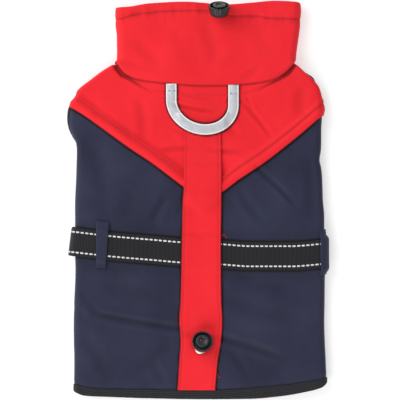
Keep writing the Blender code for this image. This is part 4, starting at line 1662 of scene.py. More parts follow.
def beside_tape(x: Array, y: Array) -> Array:
    """The painted shadow lines round the reflective loop.

    Args:
        x: places across the coat, in metres.
        y: places along the coat, in metres.

    Returns:
        1 under the tape and close to it, and 0 farther out.
    """
    reach_x = x - TAPE_MIDDLE
    reach_y = y - TAPE_FOOT + TAPE_SLANT * reach_x
    stretch = TAPE_REACH / TAPE_DROP
    bend = np.hypot(reach_x, reach_y * stretch)
    steepness = np.hypot(reach_x, reach_y * stretch ** 2) / np.maximum(bend, 1 * MM)
    off_bend = np.abs(bend - TAPE_REACH) / np.maximum(steepness, 0.5)
    away = np.where(reach_y < 0, off_bend, np.abs(np.abs(reach_x) - TAPE_REACH))
    return np.where(y < 112 * MM, beside(away - TAPE_HALF_WIDTH, 1.5 * MM), 0.0)


def yoke_middle(x: Array, y: Array) -> Array:
    """A faint painted shade in the middle of the yoke, which stands for cloth that sinks a little there."""
    return 0.3 * bump_at(np.hypot(x - 6 * MM, 0.85 * (y - 62 * MM)), 46 * MM)


# How far a panel's edge lies from the hem band's seam and from the neck seam.
UNDER_BAND = -0.8 * MM
UNDER_COLLAR = 4 * MM

# Hollows beside the collar's corners, and the pleats that leave them. Rows are (x, y), in millimetres.
LEFT_HOLLOW = ((-77.5, 131.0), (-75.5, 124.0), (-70.5, 117.5), (-60.0, 112.0), (-46.0, 108.5))
RIGHT_HOLLOW = ((91.5, 129.0), (85.0, 119.5), (74.0, 111.5), (62.0, 106.5))
LEFT_PLEAT = ((-69.0, 117.0), (-60.0, 111.0), (-52.0, 106.0), (-45.0, 102.0), (-37.0, 95.0))
RIGHT_PLEAT = ((78.0, 114.0), (66.0, 108.0), (56.0, 102.0), (48.0, 99.5))


@dataclass
class Shell:
    """Back panel, belly panel and yoke, with the armhole bindings."""

    shop: Workshop
    left: Armhole = Armhole(Side.LEFT, 0.245, 0.17, -0.6 * MM, -1.2 * MM)
    right: Armhole = Armhole(Side.RIGHT, 0.195, 0.17, -0.5 * MM, 2.6 * MM)
    step: float = 1.5 * MM
    belly_step: float = 2.1 * MM
    band_width: float = 11.2 * MM

    def back_patch(self, low: Row, high: Row, rows: Lines) -> Patch:
        """A patch from the left belly seam over the back to the right one.

        Args:
            low: the row at its lower edge.
            high: the row at its upper edge.
            rows: the lines between those two.

        Returns:
            The patch, with its parts of the armholes cut out.
        """
        columns = plain_lines(290 * MM, self.step, CLOTH)
        patch = Patch.on_tube(
            low, high, rows, lambda y: SEAM_GAP_W - seam_w(y), lambda y: seam_w(y) - SEAM_GAP_W, columns
        )
        self.cut_armholes(patch)
        return patch

    def cut_armholes(self, patch: Patch) -> None:
        """Cut both armholes out of a patch, with even edges."""
        patch.cut_opening(self.left.holds(patch.w, patch.y) | self.right.holds(patch.w, patch.y))
        for armhole in (self.left, self.right):
            patch.draw_rim(armhole.side, *armhole.outline(720))

    def build_back(self) -> ClothPiece:
        """Make the navy back, from under the hem band to under the yoke."""
        rows = plain_lines(235 * MM, self.step, CLOTH)
        patch = self.back_patch(hem_row(hem_seam, UNDER_BAND), row_at(yoke_edge, 10 * MM), rows)
        piece = ClothPiece("back_panel", patch, self.back_height, CLOTH, self.back_shade)
        piece.build(self.shop.of(NAVY))
        return piece

    def back_height(self, w: Array, y: Array) -> Array:
        """The panel's face, drawn in a little at the hem band's stitching."""
        x = tube.x(w, y)
        return tube.relief(w, y) - 0.35 * MM * bump_at(y - hem_seam(x), 4 * MM)

    @staticmethod
    def back_shade(w: Array, y: Array) -> Array:
        """The panel's painted shade: in its creases, painted shadow lines beside the yoke, the strip and the
        belt, and a painted highlight just above the hem band.

        Args:
            w: places round the tube.
            y: places along it, in metres.

        Returns:
            How much painted shade there is, below 0 for painted highlight.
        """
        x = tube.x(w, y)
        over = on_back(w)
        # Painted shadow lines below the yoke's edge, beside the strip and along the belt, with a broad
        # painted shade beside the belt.
        lines = np.maximum(beside(yoke_edge(x) - y, 2.0 * MM), beside_strip(x, y))
        belt = np.abs(y - belt_line_back(x)) - BELT_WIDTH / 2
        lines = np.maximum(lines, 0.8 * beside(belt, 1.6 * MM)) + 0.16 * beside(belt, 9.0 * MM)
        # Painted highlight: a paler line just above the hem band.
        hem = 0.28 * bump_at(y - hem_seam(x) - 3.2 * MM, 1.8 * MM)
        return tube.fold_shade(w, y) + over * (2.8 * lines - hem)

    def build_belly(self) -> ClothPiece:
        """Make the navy belly, from under the hem band to under the collar."""
        rows = plain_lines(285 * MM, self.belly_step, CLOTH)
        columns = plain_lines(165 * MM, self.belly_step, CLOTH)
        patch = Patch.on_tube(
            hem_row(hem_seam, UNDER_BAND), row_at(neck_seam, UNDER_COLLAR), rows,
            lambda y: seam_w(y) + SEAM_GAP_W, lambda y: 4 - SEAM_GAP_W - seam_w(y), columns,
        )
        self.cut_armholes(patch)
        piece = ClothPiece("belly_panel", patch, tube.relief, CLOTH, tube.fold_shade)
        piece.build(self.shop.of(NAVY))
        return piece

    def yoke_height(self, w: Array, y: Array) -> Array:
        """The yoke's face: its edge band lies over the back panel, and it sinks in under the collar.

        Args:
            w: places round the tube.
            y: places along it, in metres.

        Returns:
            Heights over the tube, in metres.
        """
        x = tube.x(w, y)
        aside = y - yoke_edge(x)
        height = tube.relief(w, y) + (GAP + CLOTH) * (1 - ramp(aside, 11.5 * MM, 18 * MM))
        height = height + 0.85 * MM * bump_at(aside - 5.4 * MM, 5.2 * MM)
        height = height - 0.55 * MM * bump_at(aside - 11.6 * MM, 2.6 * MM)
        height = height + 0.35 * MM * bump_at(aside - 16.0 * MM, 5.0 * MM)
        return height - self.neck_hollow(w, x, y)

    def yoke_shade(self, w: Array, y: Array) -> Array:
        """The yoke's painted shade: in creases, hollows and its band's valley, and painted shadow lines
        beside what lies on it, at its own edge and under the collar, with painted highlight on the band's
        crest and beside its edge.

        Args:
            w: places round the tube.
            y: places along it, in metres.

        Returns:
            How much painted shade there is, below 0 for painted highlight.
        """
        x = tube.x(w, y)
        aside = y - yoke_edge(x)
        # Painted shade along the band's valley, and painted highlight on its crest.
        valley = 0.9 * bump_at(aside - 11.6 * MM, 1.6 * MM) + 0.45 * bump_at(aside - 12.6 * MM, 4.5 * MM)
        valley = valley - 0.25 * bump_at(aside - 5.4 * MM, 4.0 * MM)
        # Painted shadow lines beside the strip, the tape and the yoke's own edge, and a painted pale line
        # just inside that edge.
        lines = np.maximum(0.15 * beside_strip(x, y), 3.8 * beside_tape(x, y))
        lines = lines + 3.4 * (1 - ramp(aside, 0.5 * MM, 1.2 * MM))
        lines = lines - 0.3 * bump_at(aside - 2.2 * MM, 1.2 * MM)
        # Painted shadow under the collar's edge and in the hollows by its corners.
        under_collar = 1.6 * beside(neck_seam(x) - y, 1.2 * MM)
        hollow = np.minimum(self.neck_hollow(w, x, y) / (0.6 * MM), 2.5)
        on_top = valley + lines + under_collar + yoke_middle(x, y)
        return tube.fold_shade(w, y) + on_back(w) * on_top + hollow

    @staticmethod
    def neck_hollow(w: Array, x: Array, y: Array) -> Array:
        """The hollows between the yoke and the collar's corners, and the pleats from them.

        Args:
            w: places round the tube.
            x: the same places across the coat, in metres.
            y: the same places along the coat, in metres.

        Returns:
            Depths, in metres.
        """
        left, right = (crossing(x, y, line, 4.2 * MM) for line in (LEFT_HOLLOW, RIGHT_HOLLOW))
        pleats = [crossing(x, y, line, 2.3 * MM) for line in (LEFT_PLEAT, RIGHT_PLEAT)]
        hollow = 3.0 * MM * np.maximum(left, 0.8 * right)
        return on_back(w) * np.maximum(hollow, 1.5 * MM * np.maximum(*pleats))

    def build_yoke(self) -> ClothPiece:
        """Make the red yoke, with its V edge on the back and closer rows in its edge band."""
        places = (1.4, 2.4, 4.0, 5.6, 7.2, 8.8, 13.6, 15, 16.5, 18.5)
        band = sorted(edge_lines(CLOTH, self.band_width) + [place * MM for place in places])
        rows = Lines.between(95 * MM, 1.1 * MM, band, edge_lines(CLOTH))
        patch = self.back_patch(row_at(yoke_edge), row_at(neck_seam, UNDER_COLLAR), rows)
        piece = ClothPiece("yoke", patch, self.yoke_height, CLOTH, self.yoke_shade)
        piece.build(self.shop.of(RED))
        return piece

    def build(self) -> None:
        """Make the pieces, the armhole bindings and the stitches."""
        back, belly, yoke = self.build_back(), self.build_belly(), self.build_yoke()
        for piece, finish in ((back, NAVY), (belly, NAVY), (yoke, RED)):
            settle(piece.thing)
            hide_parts(piece.name)
        bindings = [armhole.build_binding(self.shop.of(EDGING)) for armhole in (self.left, self.right)]
        self.stitch(back, belly, yoke)

    def stitch(self, back: ClothPiece, belly: ClothPiece, yoke: ClothPiece) -> None:
        """Topstitch the yoke's band and neck, and the belly seams.

        Args:
            back: the back panel.
            belly: the belly panel.
            yoke: the yoke.
        """
        x = np.linspace(-112, 113, 200) * MM
        y = yoke_edge(x) + self.band_width
        self.shop.sew("stitches_yoke_band", yoke, tube.w_of(x, y), y, RED_THREAD)
        x = np.linspace(-56, 67, 120) * MM
        drop = mix(3.0 * MM, 8.5 * MM, ramp(x, -58 * MM, -44 * MM) * (1 - ramp(x, 40 * MM, 68 * MM)))
        y = neck_seam(x) - drop
        self.shop.sew("stitches_yoke_neck", yoke, tube.w_of(x, y), y, RED_THREAD)
        y = np.linspace(-168, 33, 150) * MM
        for side in Side:
            for piece, aside, label in ((back, -0.016, "back"), (belly, 0.016, "belly")):
                name = f"stitches_{label}_seam_{side.name.lower()}"
                self.shop.sew(name, piece, side.value * (seam_w(y) + aside), y, NAVY_THREAD)


COLLAR_CREASES = (
    Crease(-64, 152, -30, 116, 9.0, 0.55, bow=1.5),
    Crease(4, 170, 18, 122, 9.0, 0.6, bow=2.0),
    Crease(36, 109, 60, 125, 4.5, 0.7),
    Crease(-22, 162, -8, 128, 10.0, 0.3, bow=-1.5),
    Crease(54, 166, 64, 132, 11.0, 0.35, bow=2.0),
    Crease(-66, 128, -36, 119, 6.0, 0.4),
    Crease(20, 120, 40, 138, 8.0, 0.3),
)


@dataclass
class Collar:
    """The tall collar with its drawcord casing."""

    shop: Workshop
    ripple: Ripple = Ripple(seed=21, height_mm=0.38, shortest_mm=24, longest_mm=90)
    pucker: Ripple = Ripple(seed=22, height_mm=0.32, shortest_mm=6, longest_mm=15)

    def height(self, w: Array, y: Array) -> Array:
        """The collar's face: soft folds, a rounder casing and puckers along its seam.

        Args:
            w: places round the tube.
            y: places along it, in metres.

        Returns:
            Heights over the tube, in metres.
        """
        x = tube.x(w, y)
        over = on_back(w)
        aside = y - neck_seam(x)
        own = self.ripple.height(x, y) + over * crease_height(COLLAR_CREASES, x, y)
        own = mix(np.minimum(own, 0.0), own, over)
        height = GAP + COLLAR_CLOTH + mix(tube.relief(w, y), own, ramp(aside, 3 * MM, 14 * MM))
        seam = casing_seam(x)
        depth = collar_edge(x) - seam
        casing = np.clip((y - seam) / depth, 0.0, 1.0)
        height = height + over * 0.9 * MM * np.sin(math.pi * casing) ** 0.8
        height = height - 0.32 * MM * bump_at(y - seam, 1.8 * MM)
        gather = np.exp(-(((y - seam) / (5.5 * MM)) ** 2))
        height = height + over * gather * self.pucker.height(x, x * 0)
        return height - 1.2 * MM * (1 - ramp(aside, 0.0, 4.5 * MM)) * over

    def shade(self, w: Array, y: Array) -> Array:
        """The collar's painted shade: in its folds, along its lower edge, along its casing's seam and in the
        puckers along it, with painted highlight on fold shoulders and pucker ridges.

        Args:
            w: places round the tube.
            y: places along it, in metres.

        Returns:
            How much painted shade there is, below 0 for painted highlight.
        """
        x = tube.x(w, y)
        over = on_back(w)
        folds = -over * crease_height(COLLAR_CREASES, x, y) / tube.deepest
        # Painted shadow along the collar's lower edge.
        edge = 1.4 * over * (1 - ramp(y - neck_seam(x), 0.6 * MM, 1.4 * MM))
        aside = y - casing_seam(x)
        # Painted shade along the casing's seam and just below it.
        seam = 1.9 * bump_at(aside, 1.5 * MM) + 0.35 * bump_at(aside + 1.6 * MM, 3.0 * MM)
        gather = np.exp(-((aside / (4.5 * MM)) ** 2)) * -self.pucker.height(x, x * 0) / (0.9 * MM)
        return folds + edge + seam + gather

    def build(self) -> ClothPiece:
        """Make the collar and its stitches, and return the piece that its eyelet lies on."""
        rows = plain_lines(75 * MM, 0.9 * MM, COLLAR_CLOTH)
        patch = ring_patch(row_at(neck_seam), row_at(collar_edge), rows, 300)
        piece = ClothPiece("collar", patch, self.height, COLLAR_CLOTH, self.shade)
        self.shop.lay(piece, RED, (0.399, 0.081), 0.0262)
        w = np.linspace(-2, 2, 300, endpoint=False)
        y = follow(row_at(casing_seam), w, 172 * MM)
        self.shop.sew("stitches_casing", piece, w, y, RED_THREAD, closed=True)
        return piece


@dataclass
class HemBand:
    """Black binding all round the hem."""

    shop: Workshop
    ripple: Ripple = Ripple(seed=31, height_mm=0.18, shortest_mm=9, longest_mm=40)
    wave: Ripple = Ripple(seed=32, height_mm=0.24, shortest_mm=12, longest_mm=50)

    def height(self, w: Array, y: Array) -> Array:
        """The band's face over the tube, fuller on the back and gathered a little there."""
        over = on_back(w)
        gathers = over * self.ripple.height(tube.x(w, y), y * 0)
        return 0.5 * MM + tube.relief(w, y) * 0.6 + gathers + 0.4 * MM * over

    def build(self) -> None:
        """Make the band."""
        low, seam = hem_row(hem_edge), hem_row(hem_seam)

        def high(x: Array, under: Array) -> Array:
            """The band's upper edge, which waves a little."""
            return seam(x, under) + 0.3 * MM + np.where(under, 0.0, self.wave.height(x, x * 0))

        patch = ring_patch(low, high, plain_lines(8.5 * MM, 0.8 * MM, BAND_CLOTH), 330)
        patch.along = patch.y - high(tube.x(patch.w, patch.y), np.abs(patch.w) > 1)
        piece = ClothPiece("hem_band", patch, self.height, BAND_CLOTH)
        self.shop.lay(piece, BINDING, (0.494, 0.011), 0.0047)


@dataclass
class Belt:
    """Webbing all round the body, its woven dashes and its two loops."""

    shop: Workshop
    dash: Beads = Beads(length=3.15 * MM, half_width=0.85 * MM, half_height=0.34 * MM, sides=8)
    dash_pitch: float = 4.32 * MM
    dash_aside: float = 9.4 * MM

    def height(self, w: Array, y: Array) -> Array:
        """The webbing's face over the tube: it lies on the cloth, and is a little thinner at its edges."""
        x = tube.x(w, y)
        aside = y - np.where(np.abs(w) > 1, belt_line_belly(x), belt_line_back(x))
        return GAP + BELT_CLOTH + tube.relief(w, y) - 0.18 * MM * ramp(np.abs(aside), 10.6 * MM, 12.6 * MM)

    @staticmethod
    def shade(w: Array, y: Array) -> Array:
        """The belt's painted shadow lines, beside the strip."""
        return on_back(w) * beside_strip(tube.x(w, y), y)

    @staticmethod
    def slack(w: Array, y: Array, x: Array) -> Array:
        """What is added to the X of the belt, which stands off the left fold a little."""
        below = (belt_line_belly(x) - y) / BELT_WIDTH + 0.5
        near = ramp(np.abs(w), 0.74, 0.94) * (1 - ramp(np.abs(w), 1.06, 1.26))
        return np.where(w < 0, -mix(1.5 * MM, 4.8 * MM, below) * near, 0.0)

    def build(self) -> None:
        """Make the webbing, its dashes and the loops."""
        rows = plain_lines(BELT_WIDTH, 1.5 * MM, BELT_CLOTH)
        patch = ring_patch(belt_row(-BELT_WIDTH / 2), belt_row(BELT_WIDTH / 2), rows, 380)
        piece = ClothPiece("belt", patch, self.height, BELT_CLOTH, self.shade, self.slack)
        self.shop.lay(piece, WEBBING, (0.503, 0.0267))
        self.weave_dashes(piece, "upper", self.dash_aside)
        self.weave_dashes(piece, "lower", -self.dash_aside)
        self.build_loop("belt_loop_left", self.left_loop(), flat=(0.0119, 0.0440))
        self.build_loop("belt_loop_right", self.right_loop(), flat=(0.0163, 0.0439))

    def weave_dashes(self, piece: ClothPiece, label: str, aside: float) -> None:
        """Make one row of white dashes all round.

        Args:
            piece: the webbing.
            label: which row.
            aside: how far it lies above the belt's middle line.
        """
        w = np.linspace(-2, 2, 1201)
        y = follow(belt_row(aside), w, -45 * MM)
        points, ups, yarn = piece.outer(w, y, -0.05 * MM), tube.normal(w, y), self.shop.of(WHITE_YARN)
        row = row_of_beads(self.dash, f"belt_dashes_{label}", points, ups, self.dash_pitch, 1, yarn)
        settle(row)

    def loop_height(self, w: Array, y: Array) -> Array:
        """A loop's face over the tube: over the belt in the middle, and down on the cloth at both ends."""
        over = 1 - ramp(np.abs(y - belt_line_back(tube.x(w, y))), 14.25 * MM, 18.4 * MM)
        return GAP + LOOP_CLOTH + (GAP + BELT_CLOTH) * over + tube.relief(w, y)

    @staticmethod
    def loop_slack(w: Array, y: Array, x: Array) -> Array:
        """What is added to the X of the right loop, which stands off its fold a little."""
        return 1.2 * MM * ramp(w, 0.90, 0.99) * (1 - ramp(np.abs(y - belt_line_back(x)), 12 * MM, 20 * MM))

    def left_loop(self) -> Patch:
        """Where the loop on the left of the back lies, with its ends folded under."""
        rows = plain_lines(42 * MM, 1.2 * MM, LOOP_CLOTH)
        columns = plain_lines(11 * MM, 1.1 * MM, LOOP_CLOTH)
        low, high = -21.6 * MM, 22.0 * MM
        upwards = mix(low, high, rows.share) + rows.offset
        right = mix(-86.0 * MM, -83.0 * MM, rows.share)
        x = mix(-95.2 * MM, right[:, None], columns.share[None, :]) + columns.offset[None, :]
        rise = np.broadcast_to(upwards[:, None], x.shape)
        ends = np.minimum(rise - low, high - rise)
        folded = 0.55 * MM * (1 - ramp(ends, 3.6 * MM, 4.6 * MM))
        folded = folded - 0.3 * MM * bump_at(ends - 2.6 * MM, 0.9 * MM)
        return Patch.on_upper_face(x, rise + belt_line_back(x), nearest_edge(rows, columns), folded)

    def right_loop(self) -> Patch:
        """Where the loop on the right side fold lies."""
        rows = plain_lines(42 * MM, 1.2 * MM, LOOP_CLOTH)
        columns = plain_lines(15 * MM, 0.9 * MM, LOOP_CLOTH)
        return Patch.on_tube(
            belt_row(-19.8 * MM), belt_row(22.5 * MM), rows,
            lambda y: y * 0 + 0.892, lambda y: y * 0 + 1.04, columns,
        )

    def build_loop(self, name: str, patch: Patch, flat: tuple[float, float]) -> None:
        """Make a loop and the stitches across its ends.

        Args:
            name: the loop's name.
            patch: where it lies.
            flat: the flat cloth's width and length, in metres.
        """
        piece = ClothPiece(name, patch, self.loop_height, LOOP_CLOTH, slack=self.loop_slack)
        self.shop.lay(piece, NAVY, flat)
        for label, row in (("lower", 5), ("upper", -6)):
            w, y = patch.w[row, 4:-4], patch.y[row, 4:-4]
            self.shop.sew(f"stitches_{name}_{label}", piece, w, y, NAVY_THREAD)


@dataclass
class CentreStrip:
    """Red strip down the middle of the back, over the belt and the yoke's lap."""

    shop: Workshop
    ripple: Ripple = Ripple(seed=41, height_mm=0.14, shortest_mm=14, longest_mm=60)
    stitch_inset: float = 2.8 * MM

    @staticmethod
    def lift(x: Array, y: Array) -> Array:
        """Height of the strip's face over the tube."""
        over_belt = BELT_CLEAR * (1 - ramp(np.abs(y - belt_line_back(x)), BELT_FLAT, BELT_RAMP))
        over_lap = ramp(y - yoke_edge(x), -15 * MM, -1.0 * MM) * (1 - ramp(y, 29 * MM, 36 * MM))
        return GAP + STRIP_CLOTH + np.maximum(over_belt, (GAP + CLOTH) * over_lap)

    def height(self, w: Array, y: Array) -> Array:
        """The strip's face, with a kink above the cord lock and grooves along its stitches.

        Args:
            w: places round the tube.
            y: places along it, in metres.

        Returns:
            Heights over the tube, in metres.
        """
        x = tube.x(w, y)
        height = self.lift(x, y) + tube.bridged_relief(w, y) + np.maximum(self.ripple.height(x, y), 0)
        inset = np.minimum(x - strip_left(y), strip_right(y) - x)
        height = height - 0.22 * MM * bump_at(inset - self.stitch_inset, 1.3 * MM)
        kink = Crease(-18, -120.6, 24, -129.4, 4.0, 0.9, bow=0.8, fold=Fold.RIDGE)
        dip = Crease(-14, -127.5, 22, -136.0, 5.0, 0.35)
        puff = Crease(-14, 5, 18, 7, 8.0, 0.3, fold=Fold.RIDGE)
        return height + kink.height(x, y) + dip.height(x, y) + puff.height(x, y)

    def loose_thread(self, start: tuple[float, float], reach: float, rise: float, curl: float) -> None:
        """Make the end of a stitching thread, which curls beside the strip on the navy cloth.

        Args:
            start: the place (x, y) where the thread leaves the strip's edge.
            reach: how far it goes to the right.
            rise: how far it curls up, or down where below 0.
            curl: the angle that it turns through, in radians.
        """
        turn = np.linspace(0, 1, 9)
        x = start[0] + reach * turn
        y = start[1] + rise * np.sin(turn * curl)
        w = tube.w_of(x, y)
        lifted = GAP + 0.3 * MM + tube.relief(w, y)
        points = tube.point(w, y) + tube.normal(w, y) * lifted[:, None]
        middles, steps = (points[1:] + points[:-1]) / 2, np.diff(points, axis=0)
        thread = Beads(length=1.3 * MM, half_width=0.24 * MM, half_height=0.24 * MM)
        ups = tube.normal(w, y)[:-1]
        settle(thread.build("loose_thread", middles, steps, ups, self.shop.of(RED_THREAD)))

    def shade(self, w: Array, y: Array) -> Array:
        """The strip's painted shade: below its kink, along its stitches, as shadow lines at its edges and
        round the tape's bend, as a shadow ring round the cord lock, and in the creases under it.

        Args:
            w: places round the tube.
            y: places along it, in metres.

        Returns:
            How much painted shade there is, below 0 for painted highlight.
        """
        x = tube.x(w, y)
        inset = np.minimum(x - strip_left(y), strip_right(y) - x)
        # Painted shade along the stitches, and painted shadow along the strip's edges, stronger where the
        # strip lies on the navy.
        stitched = 0.45 * bump_at(inset - self.stitch_inset, 1.0 * MM)
        on_navy = 1 - 0.6 * ramp(y - yoke_edge(x), -1 * MM, 3 * MM)
        stitched = stitched + 3.0 * on_navy * (1 - ramp(inset, 0.35 * MM, 1.0 * MM))
        below_kink = -Crease(-18, -124.0, 24, -133.0, 4.5, 0.8).height(x, y) / (1.0 * MM)
        # Painted shadow ring round the cord lock.
        at_lock = 1.3 * bump_at(np.hypot(x - STRIP_LOCK[0], y - STRIP_LOCK[1]) - 9.2 * MM, 4.0 * MM)
        around = 3.4 * beside_tape(x, y) + yoke_middle(x, y)
        return stitched + below_kink + at_lock + around + 0.6 * tube.fold_shade(w, y)

    def build(self) -> ClothPiece:
        """Make the strip and its stitches, and return the piece that its eyelet lies on."""
        rows = plain_lines(247 * MM, 1.5 * MM, STRIP_CLOTH)
        side = edge_lines(STRIP_CLOTH, self.stitch_inset)
        columns = Lines.between(38 * MM, 1.5 * MM, side, side)
        start = mix(strip_left(np.array(-178 * MM)), strip_right(np.array(-178 * MM)), columns.share)
        foot = hem_seam(start) - 0.3 * MM
        y = mix(foot[None, :], 69.5 * MM, rows.share[:, None]) + rows.offset[:, None]
        x = mix(strip_left(y), strip_right(y), columns.share[None, :]) + columns.offset[None, :]
        patch = Patch.on_upper_face(x, y, nearest_edge(rows, columns))
        piece = ClothPiece("centre_strip", patch, self.height, STRIP_CLOTH, self.shade)
        self.shop.lay(piece, RED, (0.041, 0.250), 0.0094)
        self.loose_thread((22.0 * MM, -34.5 * MM), 5.2 * MM, 2.2 * MM, 3.6)
        self.loose_thread((17.4 * MM, -161.0 * MM), 3.6 * MM, -5.6 * MM, 1.7)
        y = np.linspace(-176, 68, 240) * MM
        for label, edge, inset in (("left", strip_left, 1), ("right", strip_right, -1)):
            x = edge(y) + inset * self.stitch_inset
            self.shop.sew(f"stitches_strip_{label}", piece, tube.w_of(x, y), y, RED_THREAD)
        return piece


@dataclass
class ReflectiveLoop:
    """Reflective U-shaped tape on the yoke, its ends under the collar's edge."""

    shop: Workshop
    edge_width: float = 1.25 * MM
    ties: tuple[tuple[float, float], ...] = ((-24.4 * MM, 102.2 * MM), (33.4 * MM, 99.6 * MM))

    def middle_line(self) -> Array:
        """Points (x, y) of the tape's middle line: two legs joined by half an ellipse."""
        angle = math.pi * (1 + np.linspace(0, 1, 97))
        x = TAPE_REACH * np.cos(angle)
        y = TAPE_DROP * np.sin(angle) - TAPE_SLANT * x
        bend = np.stack([TAPE_MIDDLE + x, TAPE_FOOT + y], axis=-1)
        legs = []
        for foot in (bend[0], bend[-1]):
            top = neck_seam(foot[0]) + 0.6 * MM
            rises = np.arange(foot[1] + 1 * MM, top, 1 * MM)
            legs.append(np.stack([np.full(rises.shape, foot[0]), rises], axis=-1))
        return np.concatenate([legs[0][::-1], bend, legs[1]])

    def height(self, w: Array, y: Array) -> Array:
        """The tape's face over the yoke and over the strip's end.

        Args:
            w: places round the tube.
            y: places along it, in metres.

        Returns:
            Heights over the tube, in metres.
        """
        x = tube.x(w, y)
        edge = np.where(x < TAPE_MIDDLE, strip_left(y), strip_right(y))
        inside = np.abs(x - TAPE_MIDDLE) - np.abs(edge - TAPE_MIDDLE)
        over_strip = np.where(y > 82 * MM, 0.0, 1 - ramp(inside, 2 * MM, 9 * MM))
        return GAP + TAPE_CLOTH + (GAP + STRIP_CLOTH) * over_strip + tube.bridged_relief(w, y)

    def lay_tape(self) -> Patch:
        """Where the tape lies, with its bulge drawn in where its legs are stitched down."""
        line = self.middle_line()
        along = np.gradient(line, axis=0)
        along /= np.linalg.norm(along, axis=-1, keepdims=True)
        side = np.stack([along[:, 1], -along[:, 0]], axis=-1)
        near = edge_lines(TAPE_CLOTH) + [self.edge_width, 1.7 * MM]
        across = Lines.between(2 * TAPE_HALF_WIDTH, 1.1 * MM, near, near)
        aside = mix(-TAPE_HALF_WIDTH, TAPE_HALF_WIDTH, across.share) + across.offset
        points = line[:, None] + side[:, None] * aside[None, :, None]
        edge = np.broadcast_to(across.edge[None, :], points.shape[:2]).copy()
        edge[0], edge[-1] = 0.0, 0.0
        inset = TAPE_HALF_WIDTH - np.abs(aside)
        bulge = 0.55 * MM * ramp(inset, self.edge_width, 4.2 * MM)
        bulge = bulge + 0.2 * MM * bump_at(inset - 0.6 * MM, 0.6 * MM)
        bulge = np.broadcast_to(bulge[None], edge.shape)
        for x, y in self.ties:
            on_leg = (line[:, 0] * x > 0) & (line[:, 1] > 90 * MM)
            dip = np.where(on_leg, bump_at(line[:, 1] - y, 2.2 * MM), 0.0)[:, None]
            bulge = bulge * (1 - 0.8 * dip) - 0.3 * MM * dip
        return Patch.on_upper_face(points[..., 0], points[..., 1], edge, bulge)

    def build(self) -> None:
        """Make the tape, its pale edges and its stitches."""
        patch = self.lay_tape()
        piece = ClothPiece("reflective_loop", patch, self.height, TAPE_CLOTH)
        self.shop.lay(piece, TAPE, (0.0100, 0.136), 0.00133)
        piece.thing.data.materials.append(self.shop.of(TAPE_EDGE))
        pale = ((patch.edge[:-1, :-1] + patch.edge[:-1, 1:]) / 2 < self.edge_width).ravel()
        pale = np.concatenate([pale, pale]).astype(np.int32)
        piece.thing.data.polygons.foreach_set("material_index", pale)
        for label, (x, y) in zip(("left", "right"), self.ties):
            xs = x + np.linspace(-4.2, 4.2, 12) * MM
            ys = np.full(12, y)
            self.shop.sew(f"stitches_tape_{label}", piece, tube.w_of(xs, ys), ys, GREY_THREAD)


# ---------------- hard pieces


@dataclass(frozen=True)
class Eyelet:
    """A plated ring on the cloth."""

    name: str
    x: float
    y: float

    def build(self, below: ClothPiece, shop: Workshop) -> None:
        """Make the ring, with rounded lips.

        Args:
            below: the cloth that it lies on.
            shop: where its finish is made.
        """
        w = tube.w_of(np.array(self.x), np.array(self.y))
        seat = below.outer(w, np.array(self.y), 0.05 * MM)
        up = Vector(tube.normal(w, np.array(self.y)))
        profile = (
            (2.9, 0.0), (2.9, 0.55), (3.05, 0.78), (3.4, 0.92), (3.9, 0.88), (4.6, 0.72),
            (5.2, 0.52), (5.55, 0.30), (5.6, 0.12), (5.55, 0.0),
        )
        thing = turned_mesh(self.name + "_ring", profile, 64, shop.of(NICKEL))
        turn = Vector((0, 0, 1)).rotation_difference(up).to_matrix().to_4x4()
        thing.matrix_world = Matrix.Translation(Vector(seat)) @ turn
        settle(thing)
        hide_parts(self.name)
        log.info("%s: %d faces", self.name, len(thing.data.polygons))


